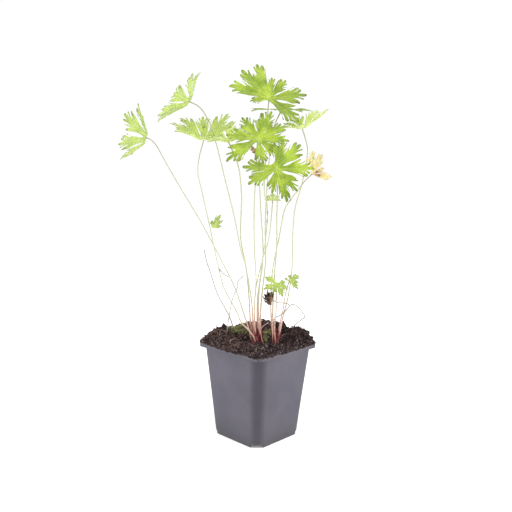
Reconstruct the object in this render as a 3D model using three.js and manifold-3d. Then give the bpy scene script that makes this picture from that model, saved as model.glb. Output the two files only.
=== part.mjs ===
// Hardy geranium (cranesbill) growing in a square plastic nursery pot.
// Millimetres, +Z up. The origin is the middle of the pot's foot, on the ground, and the pot's
// walls face X and Y. The plant has a frame of its own, turned about +Z in the pot: x runs to
// the right across the clump, y runs from its front to its back.

import * as THREE from "three";
import { mergeVertices } from "three/addons/utils/BufferGeometryUtils.js";
import Module from "manifold-3d";

const wasm = await Module();
wasm.setup();

// ---------------------------------------------------------------- driving dimensions

const SEAT_GAP = 0.3; // clearance between pieces that touch
const PLANT_TURN = 44; // degrees, the plant's frame about +Z

const POT = {
  height: 98,
  rimHeight: 5, // the turned-down rim
  rimWidth: 90,
  rimCornerRadius: 6,
  topWidth: 86.4, // body across the flats, just under the rim
  baseWidth: 67.5,
  chamferShare: 0.152, // corner chamfer over width, the same all the way down
  wall: 1,
  floorLevel: 4, // underside of the raised floor
  floorThickness: 1.2,
  footPadRadius: 7,
  footPadHeight: 4.6,
  drainRadius: 3.2,
  drainCircle: 19,
  notchHeight: 3.4, // of the gap under each corner
  notchOverlap: 1.6, // how far a notch runs into the flat walls
};

const SOIL = {
  edge: 1.2, // thickness of compost lying on the rim
  overhang: 0.4, // how far it reaches past the rim
  cornerRadius: 9,
  sectors: 48,
  rings: [0.985, 0.93, 0.86, 0.78, 0.69, 0.6, 0.5, 0.4, 0.3, 0.2, 0.1], // shares of the reach
  shoulder: 0.14, // share of the reach over which the heap rises from its edge
  hollow: { x: 8, y: -9, spreadX: 24, spreadY: 13 }, // dip around the crowns, in the plant's frame
};

// Mounds of compost, in the plant's frame: centre, spread and height of each.
const MOUNDS = [
  { x: 8, y: 30, spreadX: 44, spreadY: 17, rise: 15 },
  { x: -39, y: 5, spreadX: 20, spreadY: 15, rise: 11 },
  { x: 46, y: 7, spreadX: 15, spreadY: 14, rise: 12 },
  { x: 8, y: -34, spreadX: 30, spreadY: 14, rise: 1.5 },
];

// The two knobs of rootstock that the petioles grow from: centre and half axes.
const CROWNS = {
  crown_left: { at: [-1, -7, 94.5], radii: [9, 7.5, 6.5] },
  crown_right: { at: [19, -7, 94], radii: [6, 5.5, 6] },
};

// Low cushions of moss on the compost.
const MOSSES = {
  moss_left: { at: [-19, 12, 104.5], radii: [11, 7, 4] },
  moss_right: { at: [10, 9, 102.5], radii: [6, 6, 3.5] },
};

const BLADE = { thickness: 0.7, sinus: 0.17, base: 0.06 };
// Lobes closer than so many degrees are joined further out than the sinus, the more so the closer they are.
const JOINED = { below: 38, share: 1.2 };
// A stalk swells towards its foot: radius = tip + (base - tip) * (1 - share of length) ^ swell.
const STALK = { base: 1.05, tip: 0.5, swell: 2.5, sides: 6, step: 17 };
const STOUT = [1.1, 0.72]; // base and tip radius of the stouter petioles

// One side of a lobe: distance along its midrib and half width, as shares of its length.
const LOBE_SIDE = [
  [0.3, 0.065],
  [0.42, 0.11],
  [0.7, 0.3],
  [0.615, 0.125],
  [0.86, 0.2],
  [0.785, 0.075],
];
// A young or withered leaf has plain three-toothed lobes.
const YOUNG_SIDE = [
  [0.35, 0.13],
  [0.72, 0.32],
  [0.7, 0.16],
];
const LOBE_SPACING = 48; // degrees between lobes of full width
const LOBE_WIDTHS = [0.5, 0.92]; // least and greatest width of a lobe, as shares of the full one
const LOBE_GAP = 1.3; // degrees kept clear on each side between lobes
const LOBE_SPREAD = 60; // most degrees that a lobe spreads to one side
const LIFT_SPREAD = 22; // degrees over which the lift of one lobe fades into the next

// Every leaf: where its stalk meets the blade, the way its upper side faces, the direction
// from which lobe angles count, and its lobes as [degrees, length, lift in degrees]. Cup is how
// far the whole blade is dished at the middle, droop how far its lobes bend back at the tips.
const LEAVES = {
  far_left: {
    at: [-119, 0, 309], faces: [-0.95, 0.03, 0.28], from: [0, -1, 0], cup: 38, droop: 6, seed: 11,
    lobes: [[-128, 30], [-80, 34, 8], [-28, 38], [24, 41], [78, 35], [128, 31]],
  },
  upper_left: {
    at: [-73, -16, 344], faces: [-0.81, 0.03, 0.57], from: [0, -1, 0], cup: 30, droop: 15, seed: 13,
    lobes: [[-148, 28, 26], [-98, 38, 24], [-54, 39, 8], [-8, 37], [50, 30], [98, 31], [145, 26]],
  },
  left: {
    at: [-58, -12, 308], faces: [0.06, -0.36, 0.93], from: [-1, 0, 0], cup: 32, droop: 10, seed: 17,
    lobes: [[-160, 38, 26], [-128, 42, 34], [-82, 37, 16], [-40, 38, 10], [-5, 37], [42, 37],
      [96, 28], [142, 26]],
  },
  left_back: {
    at: [-35, 22, 310], faces: [-0.1, -0.48, 0.87], from: [-1, 0, 0], cup: 30, droop: 8, seed: 19,
    lobes: [[-145, 24], [-95, 28], [-46, 30], [0, 30], [46, 30], [95, 26], [145, 24]],
  },
  middle: {
    at: [-4, -35, 306], faces: [0.05, -0.92, 0.38], from: [0, 0, 1], cup: 4, droop: 8, seed: 3,
    lobes: [[-168, 28], [-128, 31], [-91, 30], [-60, 32], [-25, 34], [33, 28], [83, 30], [127, 37]],
  },
  top: {
    at: [7, -5, 350], faces: [0.05, -0.93, 0.36], from: [0, 0, 1], cup: 3, droop: 5, seed: 7,
    lobes: [[-130, 38], [-82, 38], [-40, 27], [-7, 24], [18, 41], [41, 42], [70, 42], [99, 19]],
  },
  front: {
    at: [14, -48, 277], faces: [0.1, -0.93, 0.35], from: [0, 0, 1], cup: 4, droop: 10, seed: 5,
    lobes: [[-190, 24], [-162, 33], [-138, 29], [-86, 37], [-43, 37], [-15, 32], [86, 31], [120, 30]],
  },
  right: {
    at: [43, 22, 325], faces: [-0.22, -0.28, 0.93], from: [1, 0, 0], cup: 26, droop: 8, seed: 23,
    lobes: [[-145, 22], [-98, 24], [-48, 28, 22], [0, 34, 20], [48, 32, 26], [98, 28], [145, 24]],
  },
  top_back: {
    at: [21, 46, 347], faces: [0, -0.155, 0.988], from: [1, 0, 0], cup: 0, droop: 0, seed: 29,
    lobes: [[-150, 37], [-100, 30], [-50, 33], [0, 34], [50, 33], [100, 31], [150, 36]],
  },
  back: {
    at: [-3, 46, 320], faces: [0, -0.8, 0.6], from: [0, 0, 1], cup: 10, droop: 10, seed: 31,
    lobes: [[-140, 16], [-95, 19], [-46, 21], [0, 23], [46, 21], [95, 19], [140, 16]],
  },
  yellow: {
    at: [54, 8, 276], faces: [0.1, -0.9, 0.3], from: [0, 0, 1], cup: 10, droop: -20, seed: 37,
    lobes: [[-108, 21], [-66, 14], [-27, 23], [3, 24]],
  },
  small_back: {
    at: [14, 48, 248], faces: [0, -0.6, 0.8], from: [0, 0.8, 0.6], cup: 10, droop: 0, seed: 41,
    young: true, lobes: [[-100, 9], [-50, 10], [0, 11], [50, 10], [100, 9]],
  },
  low_front: {
    at: [18, -22, 163], faces: [0.1, -0.75, 0.6], from: [0, 0.6, 0.8], cup: 5, droop: 20, seed: 43,
    young: true, lobes: [[-152, 14], [-108, 12], [-65, 10], [51, 15], [113, 14], [159, 11]],
  },
  low_right: {
    at: [32, -2, 164], faces: [0.2, -0.75, 0.6], from: [0.2, 0.6, 0.8], cup: 5, droop: 20, seed: 47,
    young: true, lobes: [[-118, 12], [-78, 10], [-38, 15], [5, 8], [75, 6]],
  },
  low_left: {
    at: [-49, -7, 219], faces: [-0.1, -0.7, 0.6], from: [0.6, 0, 0.8], cup: 20, droop: 10, seed: 53,
    young: true, lobes: [[-48, 10], [-12, 13], [15, 16], [50, 8]],
  },
  withered: {
    at: [13.5, -16, 146], faces: [0, -0.7, 0.6], from: [-1, 0, 0], cup: 12, droop: -35, seed: 59,
    young: true, lobes: [[-90, 9], [-58, 11], [-28, 11], [2, 12], [33, 12], [66, 13]],
  },
  shrivelled: {
    at: [-4.8, 42.6, 303], faces: [0.1, -0.9, 0.4], from: [-0.8, 0, -0.6], cup: 8, droop: -30, seed: 61,
    young: true, lobes: [[-48, 8], [-14, 9], [18, 10], [50, 9]],
  },
};

// Every petiole: the crown it grows from, the place of its foot on that crown, and the points
// that it passes on the way up to its leaf.
const PETIOLES = {
  far_left: {
    crown: "crown_left", foot: [-5.5, -6],
    points: [[-10, -5, 114], [-16, -4, 131], [-25, -3, 156], [-42, -2, 189], [-62, -1, 225],
      [-81, -1, 256], [-98, 0, 284], [-109, 0, 303], [-115, 0, 308]],
  },
  left: {
    crown: "crown_left", foot: [-2.6, -11.2],
    points: [[-3.7, -12.4, 104.6], [-6, -12.6, 108.6], [-10.5, -12, 114], [-17.5, -10, 120.5],
      [-23, -6.5, 132], [-36, -4, 155], [-43, -4, 180], [-51, -5, 216], [-59, -8, 252], [-64, -10, 275],
      [-62, -11, 292]],
  },
  upper_left: {
    crown: "crown_left", foot: [-2.6, -8],
    points: [[-5, -8, 116], [-7, -9, 141], [-14, -11, 180], [-19, -12, 196], [-26, -12, 229],
      [-37, -13, 271], [-46, -13, 305], [-54, -13, 327], [-63, -14, 339]],
  },
  left_back: {
    crown: "crown_left", foot: [-4.5, -3], radii: STOUT,
    points: [[-8, -1, 118], [-10, 5, 143], [-14, 9, 177], [-20, 12, 206], [-20, 16, 253], [-24, 20, 283]],
  },
  middle: {
    crown: "crown_left", foot: [0.2, -11],
    points: [[-3, -12, 114], [-4, -15, 144], [-3, -19, 166], [-5, -24, 196], [-6, -28, 221],
      [-6, -31, 248], [-5, -33, 272]],
  },
  top: {
    crown: "crown_left", foot: [2.4, -9],
    points: [[1, -8, 115], [0, -6, 143], [3, -4, 183], [7, -3, 217], [7, -3, 243], [4, -3, 255],
      [5, -3, 298], [6, -3, 338]],
  },
  top_back: {
    crown: "crown_left", foot: [3.2, -5.4], radii: STOUT,
    points: [[2.2, 1, 119], [3.4, 10, 144], [7, 20, 184], [6, 28, 221], [9, 38, 290], [14, 43, 328]],
  },
  back: {
    crown: "crown_left", foot: [0.2, -4.4],
    points: [[-1, 2, 120], [-1, 10, 145], [4, 21, 183], [0, 33, 248], [-3, 42, 300]],
  },
  small_back: {
    crown: "crown_left", foot: [-1.8, -3],
    points: [[-4, 5, 122], [-3, 14, 152], [3, 26, 180], [10, 36, 204], [13, 43, 232]],
  },
  front: {
    crown: "crown_right", foot: [16.6, -9.5], radii: STOUT,
    points: [[15, -11, 115], [15, -11, 143], [16, -14, 175], [17, -26, 206], [16, -37, 231], [16, -44, 253]],
  },
  yellow: {
    crown: "crown_right", foot: [16.8, -4.5],
    points: [[14, 0, 119], [13, 3, 154], [15, 4, 180], [20, 5, 206], [23, 5, 225], [26, 6, 239],
      [32, 6, 249], [39, 7, 258], [46, 7, 268]],
  },
  right: {
    crown: "crown_right", foot: [21.4, -8],
    points: [[24, -5, 117], [27, -1, 129], [32, 5, 150], [35, 9, 176], [35, 11, 207], [37, 13, 239],
      [43, 16, 262], [48, 19, 286], [49, 21, 304]],
  },
  low_right: {
    crown: "crown_right", foot: [20.8, -4.6],
    points: [[23, -1, 119], [26, -1, 133], [28, -1, 149]],
  },
  low_front: {
    crown: "crown_right", foot: [19, -10.4],
    points: [[17, -13, 115], [18, -17, 133], [18, -20, 147]],
  },
};

// Dead and broken stalks. A foot on a crown is given as above; the others start in the compost, but for
// the side shoot, which springs from the left petiole.
const DEAD_STALKS = {
  dead_stalk_withered: {
    crown: "crown_right", foot: [16, -6.8], radii: [0.7, 0.45], leaf: "withered",
    points: [[15, -5, 113], [17, -4, 124], [23, -7, 128.5], [29.5, -11, 135.5], [32, -12.5, 140],
      [27, -14, 142.5], [20, -15, 143], [16, -15.6, 145]],
  },
  dead_stalk_right: {
    radii: [0.6, 0.4],
    points: [[35, 17, 107], [41, 15, 114.5], [46, 13, 119.5], [50, 10, 124], [46, 8, 130.5],
      [40, 5, 137], [34, 3, 138.5]],
  },
  dead_stalk_left: {
    radii: [0.8, 0.4],
    points: [[-26, 22, 105], [-31, 20, 120], [-36, 18, 130], [-44, 13, 146], [-52, 9, 171], [-56, 7, 183],
      [-58, 6, 194]],
  },
  dead_stalk_bent: {
    radii: [0.6, 0.4],
    points: [[-33, 0, 104], [-32, 0, 116], [-30, 0, 130], [-27, 1, 145], [-24, 1, 152], [-22, 2, 157],
      [-23, 2, 160], [-20, 3, 164], [-17, 3, 167.5]],
  },
  side_shoot: {
    radii: [0.6, 0.3],
    points: [[-40.2, -4.3, 174], [-38.3, -4.8, 171.5], [-35, -5.2, 169.3], [-31.3, -5.6, 167.6]],
  },
};
// A short pale stub that springs from the side of the left crown.
const PALE_STUB = {
  crown: "crown_left", foot: [5.2, -10], radii: [0.55, 0.35],
  points: [[3.6, -11, 106.5], [2.7, -11.3, 112], [3.6, -11, 115.6], [6.8, -9.6, 118.3], [10.6, -8, 120.6]],
};

// ---------------------------------------------------------------- finishes

const finish = (color, roughness) => new THREE.MeshStandardMaterial({ color, roughness, metalness: 0 });
const FINISH = {
  pot: finish(0x77747e, 0.5),
  soil: finish(0x3b2c28, 0.95),
  moss: finish(0x6b6832, 0.9),
  crown: finish(0x6e3a34, 0.8),
  petiole: finish(0xc3cba0, 0.55),
  blade: finish(0x9cbf3f, 0.6),
  youngBlade: finish(0xb4cc62, 0.6),
  yellowBlade: finish(0xe3cb8b, 0.7),
  dead: finish(0x9a8a78, 0.8),
  withered: finish(0x4a2f27, 0.9),
};

// ---------------------------------------------------------------- solids and joins

/** Closed three.js geometry to a solid that can be joined and cut. */
function solid(geometry) {
  const bare = geometry.clone();
  bare.deleteAttribute("normal");
  bare.deleteAttribute("uv");
  const merged = mergeVertices(bare, 1e-4);
  return new wasm.Manifold(new wasm.Mesh({
    numProp: 3,
    vertProperties: merged.getAttribute("position").array,
    triVerts: new Uint32Array(merged.index.array),
  }));
}

/** A solid back to a three.js geometry with flat faces. */
function geometryOf(body) {
  const mesh = body.getMesh();
  const geometry = new THREE.BufferGeometry();
  geometry.setAttribute("position", new THREE.BufferAttribute(mesh.vertProperties, 3));
  geometry.setIndex(new THREE.BufferAttribute(mesh.triVerts, 1));
  const flat = geometry.toNonIndexed();
  flat.computeVertexNormals();
  return flat;
}

/** Moves every vertex of a geometry by place(x, y, z) -> [x, y, z]. */
function reshape(geometry, place) {
  const position = geometry.getAttribute("position");
  for (let i = 0; i < position.count; i++) {
    position.setXYZ(i, ...place(position.getX(i), position.getY(i), position.getZ(i)));
  }
  return geometry;
}

const radians = THREE.MathUtils.degToRad;
const clamp = THREE.MathUtils.clamp;

// ---------------------------------------------------------------- pot

/** Square of width 1 with its corners cut off flat. */
function chamferedSquare() {
  const half = 0.5;
  const cut = POT.chamferShare / Math.SQRT2;
  const corners = [[1, -1], [1, 1], [-1, 1], [-1, -1]];
  const shape = new THREE.Shape();
  corners.forEach(([sx, sy], i) => {
    const first = sx * sy < 0 ? [sx * (half - cut), sy * half] : [sx * half, sy * (half - cut)];
    const second = sx * sy < 0 ? [sx * half, sy * (half - cut)] : [sx * (half - cut), sy * half];
    if (i === 0) shape.moveTo(...first);
    else shape.lineTo(...first);
    shape.lineTo(...second);
  });
  return shape;
}

/** Square with rounded corners. */
function roundedSquare(width, radius) {
  const half = width / 2;
  const shape = new THREE.Shape();
  shape.moveTo(half, -half + radius);
  for (let quarter = 0; quarter < 4; quarter++) {
    const from = (quarter * Math.PI) / 2;
    const middle = from + Math.PI / 4;
    const reach = (half - radius) * Math.SQRT2;
    shape.absarc(reach * Math.cos(middle), reach * Math.sin(middle), radius, from, from + Math.PI / 2, false);
  }
  return shape;
}

/** A shape raised from z0 to z1. */
function raised(shape, z0, z1, curveSegments = 5) {
  const geometry = new THREE.ExtrudeGeometry(shape, { depth: z1 - z0, bevelEnabled: false, curveSegments });
  geometry.translate(0, 0, z0);
  return solid(geometry);
}

const bodyTop = POT.height - POT.rimHeight;
const bodyWidthAt = (z) => POT.baseWidth + ((POT.topWidth - POT.baseWidth) * z) / bodyTop;

/** The tapered body between two levels, smaller all round by inset. */
function taperedBody(z0, z1, inset) {
  const geometry = new THREE.ExtrudeGeometry(chamferedSquare(), { depth: 1, bevelEnabled: false });
  return solid(reshape(geometry, (x, y, t) => {
    const z = z0 + (z1 - z0) * t;
    const width = bodyWidthAt(z) - 2 * inset;
    return [x * width, y * width, z];
  }));
}

function buildPot() {
  const over = 1; // how far a cutter runs past the face that it cuts
  const skirt = raised(roundedSquare(POT.rimWidth, POT.rimCornerRadius), bodyTop, POT.height);
  const underRim = raised(
    roundedSquare(POT.rimWidth - 2 * POT.wall, POT.rimCornerRadius - POT.wall),
    bodyTop - over,
    POT.height - POT.wall,
  );
  const cavity = taperedBody(POT.floorLevel + POT.floorThickness, POT.height + over, POT.wall);
  const recess = taperedBody(-over, POT.floorLevel, POT.wall);
  let pot = taperedBody(0, POT.height - POT.wall / 2, 0).add(skirt.subtract(underRim));
  pot = pot.subtract(cavity).subtract(recess);

  const footPad = new THREE.CylinderGeometry(POT.footPadRadius, POT.footPadRadius, POT.footPadHeight, 16);
  footPad.rotateX(Math.PI / 2).translate(0, 0, POT.footPadHeight / 2);
  pot = pot.add(solid(footPad));

  const drainDepth = 6;
  for (let quarter = 0; quarter < 4; quarter++) {
    const angle = (quarter * Math.PI) / 2;
    const drain = new THREE.CylinderGeometry(POT.drainRadius, POT.drainRadius, drainDepth, 14);
    drain.rotateX(Math.PI / 2);
    drain.translate(POT.drainCircle * Math.cos(angle), POT.drainCircle * Math.sin(angle), POT.floorLevel);
    pot = pot.subtract(solid(drain));

    const chamfer = POT.chamferShare * POT.baseWidth;
    const notchWidth = chamfer + POT.notchOverlap * Math.SQRT2;
    const notchDepth = 10;
    const cornerReach = (POT.baseWidth * Math.SQRT2) / 2 - chamfer / 2;
    const notch = new THREE.BoxGeometry(notchDepth, notchWidth, POT.notchHeight * 2);
    notch.translate(cornerReach, 0, 0).rotateZ(angle + Math.PI / 4);
    pot = pot.subtract(solid(notch));
  }
  return pot;
}

// ---------------------------------------------------------------- compost

/** Distance from the middle to the edge of a rounded square, in the direction of angle. */
function squareReach(angle, width, radius) {
  const c = Math.abs(Math.cos(angle));
  const s = Math.abs(Math.sin(angle));
  const half = width / 2;
  const flat = half / Math.max(c, s);
  const centre = half - radius;
  const along = centre * (c + s);
  const roundReach = along + Math.sqrt(Math.max(0, along * along - 2 * centre * centre + radius * radius));
  const inCorner = Math.min(c, s) * flat > centre;
  return inCorner ? roundReach : flat;
}

/** Height of the heap above its edge at a point of the plant's frame. */
function heapRise(x, y) {
  const mounds = MOUNDS.reduce((sum, m) => {
    const far = ((x - m.x) / m.spreadX) ** 2 + ((y - m.y) / m.spreadY) ** 2;
    return sum + m.rise * Math.exp(-far);
  }, 0);
  const dip = SOIL.hollow;
  const hollow = Math.exp(-(((x - dip.x) / dip.spreadX) ** 2) - ((y - dip.y) / dip.spreadY) ** 2);
  const lumps = 0.5 * Math.sin(x * 0.55 + 1) * Math.sin(y * 0.48) + 0.3 * Math.sin(x * 0.9 - y * 0.7);
  return (mounds + lumps) * (1 - hollow);
}

function buildHeap() {
  const width = POT.rimWidth + 2 * SOIL.overhang;
  const profile = [[0, 0], [SOIL.rings[0], 0], [1, 0.5], ...SOIL.rings.map((r) => [r, 1]), [0, 1]];
  const points = profile.map(([r, h]) => new THREE.Vector2(r, h));
  const disc = new THREE.LatheGeometry(points, SOIL.sectors).rotateX(Math.PI / 2);
  const turn = radians(PLANT_TURN);
  const bottom = POT.height + SEAT_GAP;
  return solid(reshape(disc, (x, y, h) => {
    const angle = Math.atan2(y, x);
    const share = Math.hypot(x, y);
    const reach = share * squareReach(angle, width, SOIL.cornerRadius);
    const px = reach * Math.cos(angle);
    const py = reach * Math.sin(angle);
    const plantX = px * Math.cos(turn) + py * Math.sin(turn);
    const plantY = -px * Math.sin(turn) + py * Math.cos(turn);
    const shoulder = clamp((1 - share) / SOIL.shoulder, 0, 1);
    const top = SOIL.edge + Math.max(0, heapRise(plantX, plantY)) * shoulder;
    return [px, py, bottom + h * (h === 1 ? top : SOIL.edge)];
  }));
}

function buildSoil() {
  const floorTop = POT.floorLevel + POT.floorThickness;
  const fillingTop = POT.height + SEAT_GAP + SOIL.edge / 2;
  const filling = taperedBody(floorTop + SEAT_GAP, fillingTop, POT.wall + SEAT_GAP);
  return filling.add(buildHeap());
}

/** A lump: a sphere stretched to the given half axes, larger by grow. */
function lump({ at, radii }, grow, detail) {
  const ball = new THREE.SphereGeometry(1, detail, detail / 2).rotateX(Math.PI / 2);
  return solid(reshape(ball, (x, y, z) => [
    at[0] + x * (radii[0] + grow),
    at[1] + y * (radii[1] + grow),
    at[2] + z * (radii[2] + grow),
  ]));
}

// ---------------------------------------------------------------- stalks

const vector = (p) => new THREE.Vector3(...p);

/** Height of a crown's surface above a point of the plant's frame. */
function crownTop(name, [x, y]) {
  const { at, radii } = CROWNS[name];
  const inside = 1 - ((x - at[0]) / radii[0]) ** 2 - ((y - at[1]) / radii[1]) ** 2;
  return at[2] + radii[2] * Math.sqrt(Math.max(0, inside));
}

/** Where a petiole ends: just under the blade that it carries. */
function bladeSeat({ at, faces }, tipRadius) {
  const under = BLADE.thickness / 2 + SEAT_GAP + tipRadius;
  return vector(at).addScaledVector(vector(faces).normalize(), -under).toArray();
}

/** The points a stalk passes, from just inside its crown, where it has one, to its leaf. */
function stalkRoute({ crown, foot, points, radii = [STALK.base, STALK.tip] }, leaf) {
  const start = crown ? [[...foot, crownTop(crown, foot) - 0.5]] : [];
  const end = leaf ? [bladeSeat(leaf, radii[1])] : [];
  return [...start, ...points, ...end].map(vector);
}

/** A tapered round bar bent along a smooth route, thicker all round by grow. */
function bentBar(route, baseRadius, tipRadius, grow = 0) {
  const curve = new THREE.CatmullRomCurve3(route, false, "centripetal");
  const length = curve.getLength();
  const steps = Math.max(route.length + 1, Math.round(length / STALK.step) + 2);
  const profile = [new THREE.Vector2(0, 0)];
  for (let i = 0; i <= steps; i++) {
    const t = i / steps;
    const swelling = (baseRadius - tipRadius) * (1 - t) ** STALK.swell;
    profile.push(new THREE.Vector2(tipRadius + swelling + grow, t));
  }
  profile.push(new THREE.Vector2(0, 1));
  const bar = new THREE.LatheGeometry(profile, STALK.sides);
  const side = new THREE.Vector3(1, 0, 0);
  return solid(reshape(bar, (x, t, z) => {
    const middle = curve.getPointAt(clamp(t, 0, 1));
    const along = curve.getTangentAt(clamp(t, 0, 1));
    const across = new THREE.Vector3().crossVectors(along, side).normalize();
    const up = new THREE.Vector3().crossVectors(across, along);
    middle.addScaledVector(along, t < 1e-6 ? -grow : 0).addScaledVector(along, t > 1 - 1e-6 ? grow : 0);
    return middle.addScaledVector(across, x).addScaledVector(up, z).toArray();
  }));
}

// ---------------------------------------------------------------- blades

/** A steady variation between -1 and 1 for point k of the leaf with this seed. */
const vary = (seed, k) => Math.sin(seed * 12.9898 + k * 78.233);

/** How far out two neighbouring lobes are joined. */
function joinedReach(gap, length, nextLength) {
  const share = BLADE.sinus + JOINED.share * Math.max(0, 1 - gap / JOINED.below);
  return share * Math.min(length, nextLength);
}

/** One side of a lobe in its own frame, from where it is joined to the next one to the last tooth. */
function lobeSide(leaf, k, side, gap, length, joined) {
  const width = clamp(gap / LOBE_SPACING, ...LOBE_WIDTHS);
  const widest = Math.tan(radians(Math.min(gap / 2 - LOBE_GAP, LOBE_SPREAD)));
  const points = (leaf.young ? YOUNG_SIDE : LOBE_SIDE).map(([along, across], i) => {
    const j = k * 37 + i * 5 + (side > 0 ? 3 : 0);
    const swing = across > 0.15 ? 0.1 : 0.04;
    const reach = along * (1 + 0.03 * vary(leaf.seed, j + 1));
    const spread = Math.min(across * width * (1 + swing * vary(leaf.seed, j)), reach * widest);
    return [length * reach, side * length * spread];
  });
  return points.filter(([along]) => along > joined);
}

/** The outline of a blade laid flat, with angle 0 along +X. */
function flatOutline(leaf) {
  const lobes = [...leaf.lobes].sort((a, b) => a[0] - b[0]);
  const points = [];
  const polar = (degrees, radius) => {
    const angle = radians(degrees);
    return [radius * Math.cos(angle), radius * Math.sin(angle)];
  };
  const open = 360 - (lobes[lobes.length - 1][0] - lobes[0][0]);
  lobes.forEach(([degrees, length], k) => {
    const last = k === lobes.length - 1;
    const before = k > 0 ? degrees - lobes[k - 1][0] : open;
    const after = last ? open : lobes[k + 1][0] - degrees;
    const joinedBefore = k > 0 ? joinedReach(before, length, lobes[k - 1][1]) : 0;
    const joinedAfter = last ? 0 : joinedReach(after, length, lobes[k + 1][1]);
    const half = [
      ...lobeSide(leaf, k, -1, before, length, joinedBefore),
      [length, 0],
      ...lobeSide(leaf, k, 1, after, length, joinedAfter).reverse(),
    ];
    const c = Math.cos(radians(degrees));
    const s = Math.sin(radians(degrees));
    half.forEach(([a, b]) => points.push([a * c - b * s, a * s + b * c]));
    if (!last) {
      points.push(polar(degrees + after / 2, joinedAfter));
    }
  });
  const size = Math.max(...lobes.map((lobe) => lobe[1]));
  points.push(polar(lobes[0][0] - open / 2, BLADE.base * size));
  return points;
}

/** Lift of the blade in the direction of an angle, eased between its lobes. */
function liftAt(leaf, degrees) {
  const near = leaf.lobes.map(([angle, , lift = 0]) => {
    const away = Math.abs(((degrees - angle + 540) % 360) - 180);
    return { weight: Math.exp(-((away / LIFT_SPREAD) ** 2)) + 1e-6, lift };
  });
  const total = near.reduce((sum, n) => sum + n.weight, 0);
  return near.reduce((sum, n) => sum + n.weight * n.lift, 0) / total;
}

/** Dishes a flat point of a blade: level over the petiole, then rising and bending back. */
function dished(leaf, x, y) {
  const angle = Math.atan2(y, x);
  const size = Math.max(...leaf.lobes.map((lobe) => lobe[1]));
  const level = Math.min(Math.hypot(x, y), BLADE.sinus * size);
  const r = Math.hypot(x, y) - level;
  const start = radians(leaf.cup);
  const bend = radians(liftAt(leaf, THREE.MathUtils.radToDeg(angle)) - leaf.droop * 2) / size;
  const straight = Math.abs(bend) < 1e-6;
  const out = straight ? r * Math.cos(start) : (Math.sin(start + bend * r) - Math.sin(start)) / bend;
  const up = straight ? r * Math.sin(start) : (Math.cos(start) - Math.cos(start + bend * r)) / bend;
  return [(level + out) * Math.cos(angle), (level + out) * Math.sin(angle), up];
}

/** A blade where it grows. */
function blade(leaf) {
  const shape = new THREE.Shape(flatOutline(leaf).map(([x, y]) => new THREE.Vector2(x, y)));
  const plate = new THREE.ExtrudeGeometry(shape, { depth: 1, bevelEnabled: false });
  const normal = vector(leaf.faces).normalize();
  const ahead = vector(leaf.from).addScaledVector(normal, -normal.dot(vector(leaf.from))).normalize();
  const aside = new THREE.Vector3().crossVectors(normal, ahead);
  return solid(reshape(plate, (x, y, t) => {
    const [u, v, w] = dished(leaf, x, y);
    const level = w + (t - 0.5) * BLADE.thickness;
    return vector(leaf.at)
      .addScaledVector(ahead, u)
      .addScaledVector(aside, v)
      .addScaledVector(normal, level)
      .toArray();
  }));
}

// ---------------------------------------------------------------- assembly

const plant = new THREE.Group();
plant.rotation.z = radians(PLANT_TURN);

const geranium = new THREE.Group();
geranium.add(plant);

function addPiece(group, name, body, material) {
  const mesh = new THREE.Mesh(geometryOf(body), material);
  mesh.name = name;
  group.add(mesh);
}

const stalks = [];
for (const [name, petiole] of Object.entries(PETIOLES)) {
  const route = stalkRoute(petiole, LEAVES[name]);
  const radii = petiole.radii ?? [STALK.base, STALK.tip];
  stalks.push({ name: "petiole_" + name, crown: petiole.crown, route, radii, material: FINISH.petiole });
}
for (const [name, stalk] of Object.entries(DEAD_STALKS)) {
  const route = stalkRoute(stalk, LEAVES[stalk.leaf]);
  stalks.push({ name, crown: stalk.crown, route, radii: stalk.radii, material: FINISH.dead });
}
stalks.push({ name: "pale_stub", crown: PALE_STUB.crown, route: stalkRoute(PALE_STUB),
  radii: PALE_STUB.radii, material: FINISH.petiole });

const crownSeats = Object.fromEntries(
  Object.entries(CROWNS).map(([name, crown]) => [name, lump(crown, SEAT_GAP, 16)]),
);
for (const { name, crown, route, radii, material } of stalks) {
  const bar = bentBar(route, ...radii);
  addPiece(plant, name, crown ? bar.subtract(crownSeats[crown]) : bar, material);
}

for (const [name, leaf] of Object.entries(LEAVES)) {
  const material = {
    yellow: FINISH.yellowBlade,
    withered: FINISH.withered,
    shrivelled: FINISH.withered,
  }[name] ?? (leaf.young ? FINISH.youngBlade : FINISH.blade);
  addPiece(plant, "blade_" + name, blade(leaf), material);
}

// The compost is hollowed out where the crowns, the moss and the stalks sit in it.
let soil = buildSoil();
const turned = (body) => body.rotate([0, 0, PLANT_TURN]);
for (const [name, crown] of Object.entries(CROWNS)) {
  addPiece(plant, name, lump(crown, 0, 16), FINISH.crown);
  soil = soil.subtract(turned(crownSeats[name]));
}
for (const [name, moss] of Object.entries(MOSSES)) {
  addPiece(plant, name, lump(moss, 0, 12), FINISH.moss);
  soil = soil.subtract(turned(lump(moss, SEAT_GAP, 12)));
}
for (const { route, radii } of stalks) {
  soil = soil.subtract(turned(bentBar(route, ...radii, SEAT_GAP)));
}
addPiece(geranium, "soil", soil, FINISH.soil);
addPiece(geranium, "pot", buildPot(), FINISH.pot);

export default geranium;
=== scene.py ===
"""Hardy geranium (cranesbill) in its square nursery pot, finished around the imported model.

Blender works in metres, +Z up, in the pot's frame: origin at the middle of the foot, walls facing X and Y.
The plant has a frame of its own, turned about +Z in the pot: x runs to the right across the clump and y
from its front to its back. Each piece is modelled in millimetres, and brought to metres when it is done.
"""

import math
import random
from collections import namedtuple

import bmesh
import bpy
from mathutils import Matrix, Vector, kdtree, noise


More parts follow.
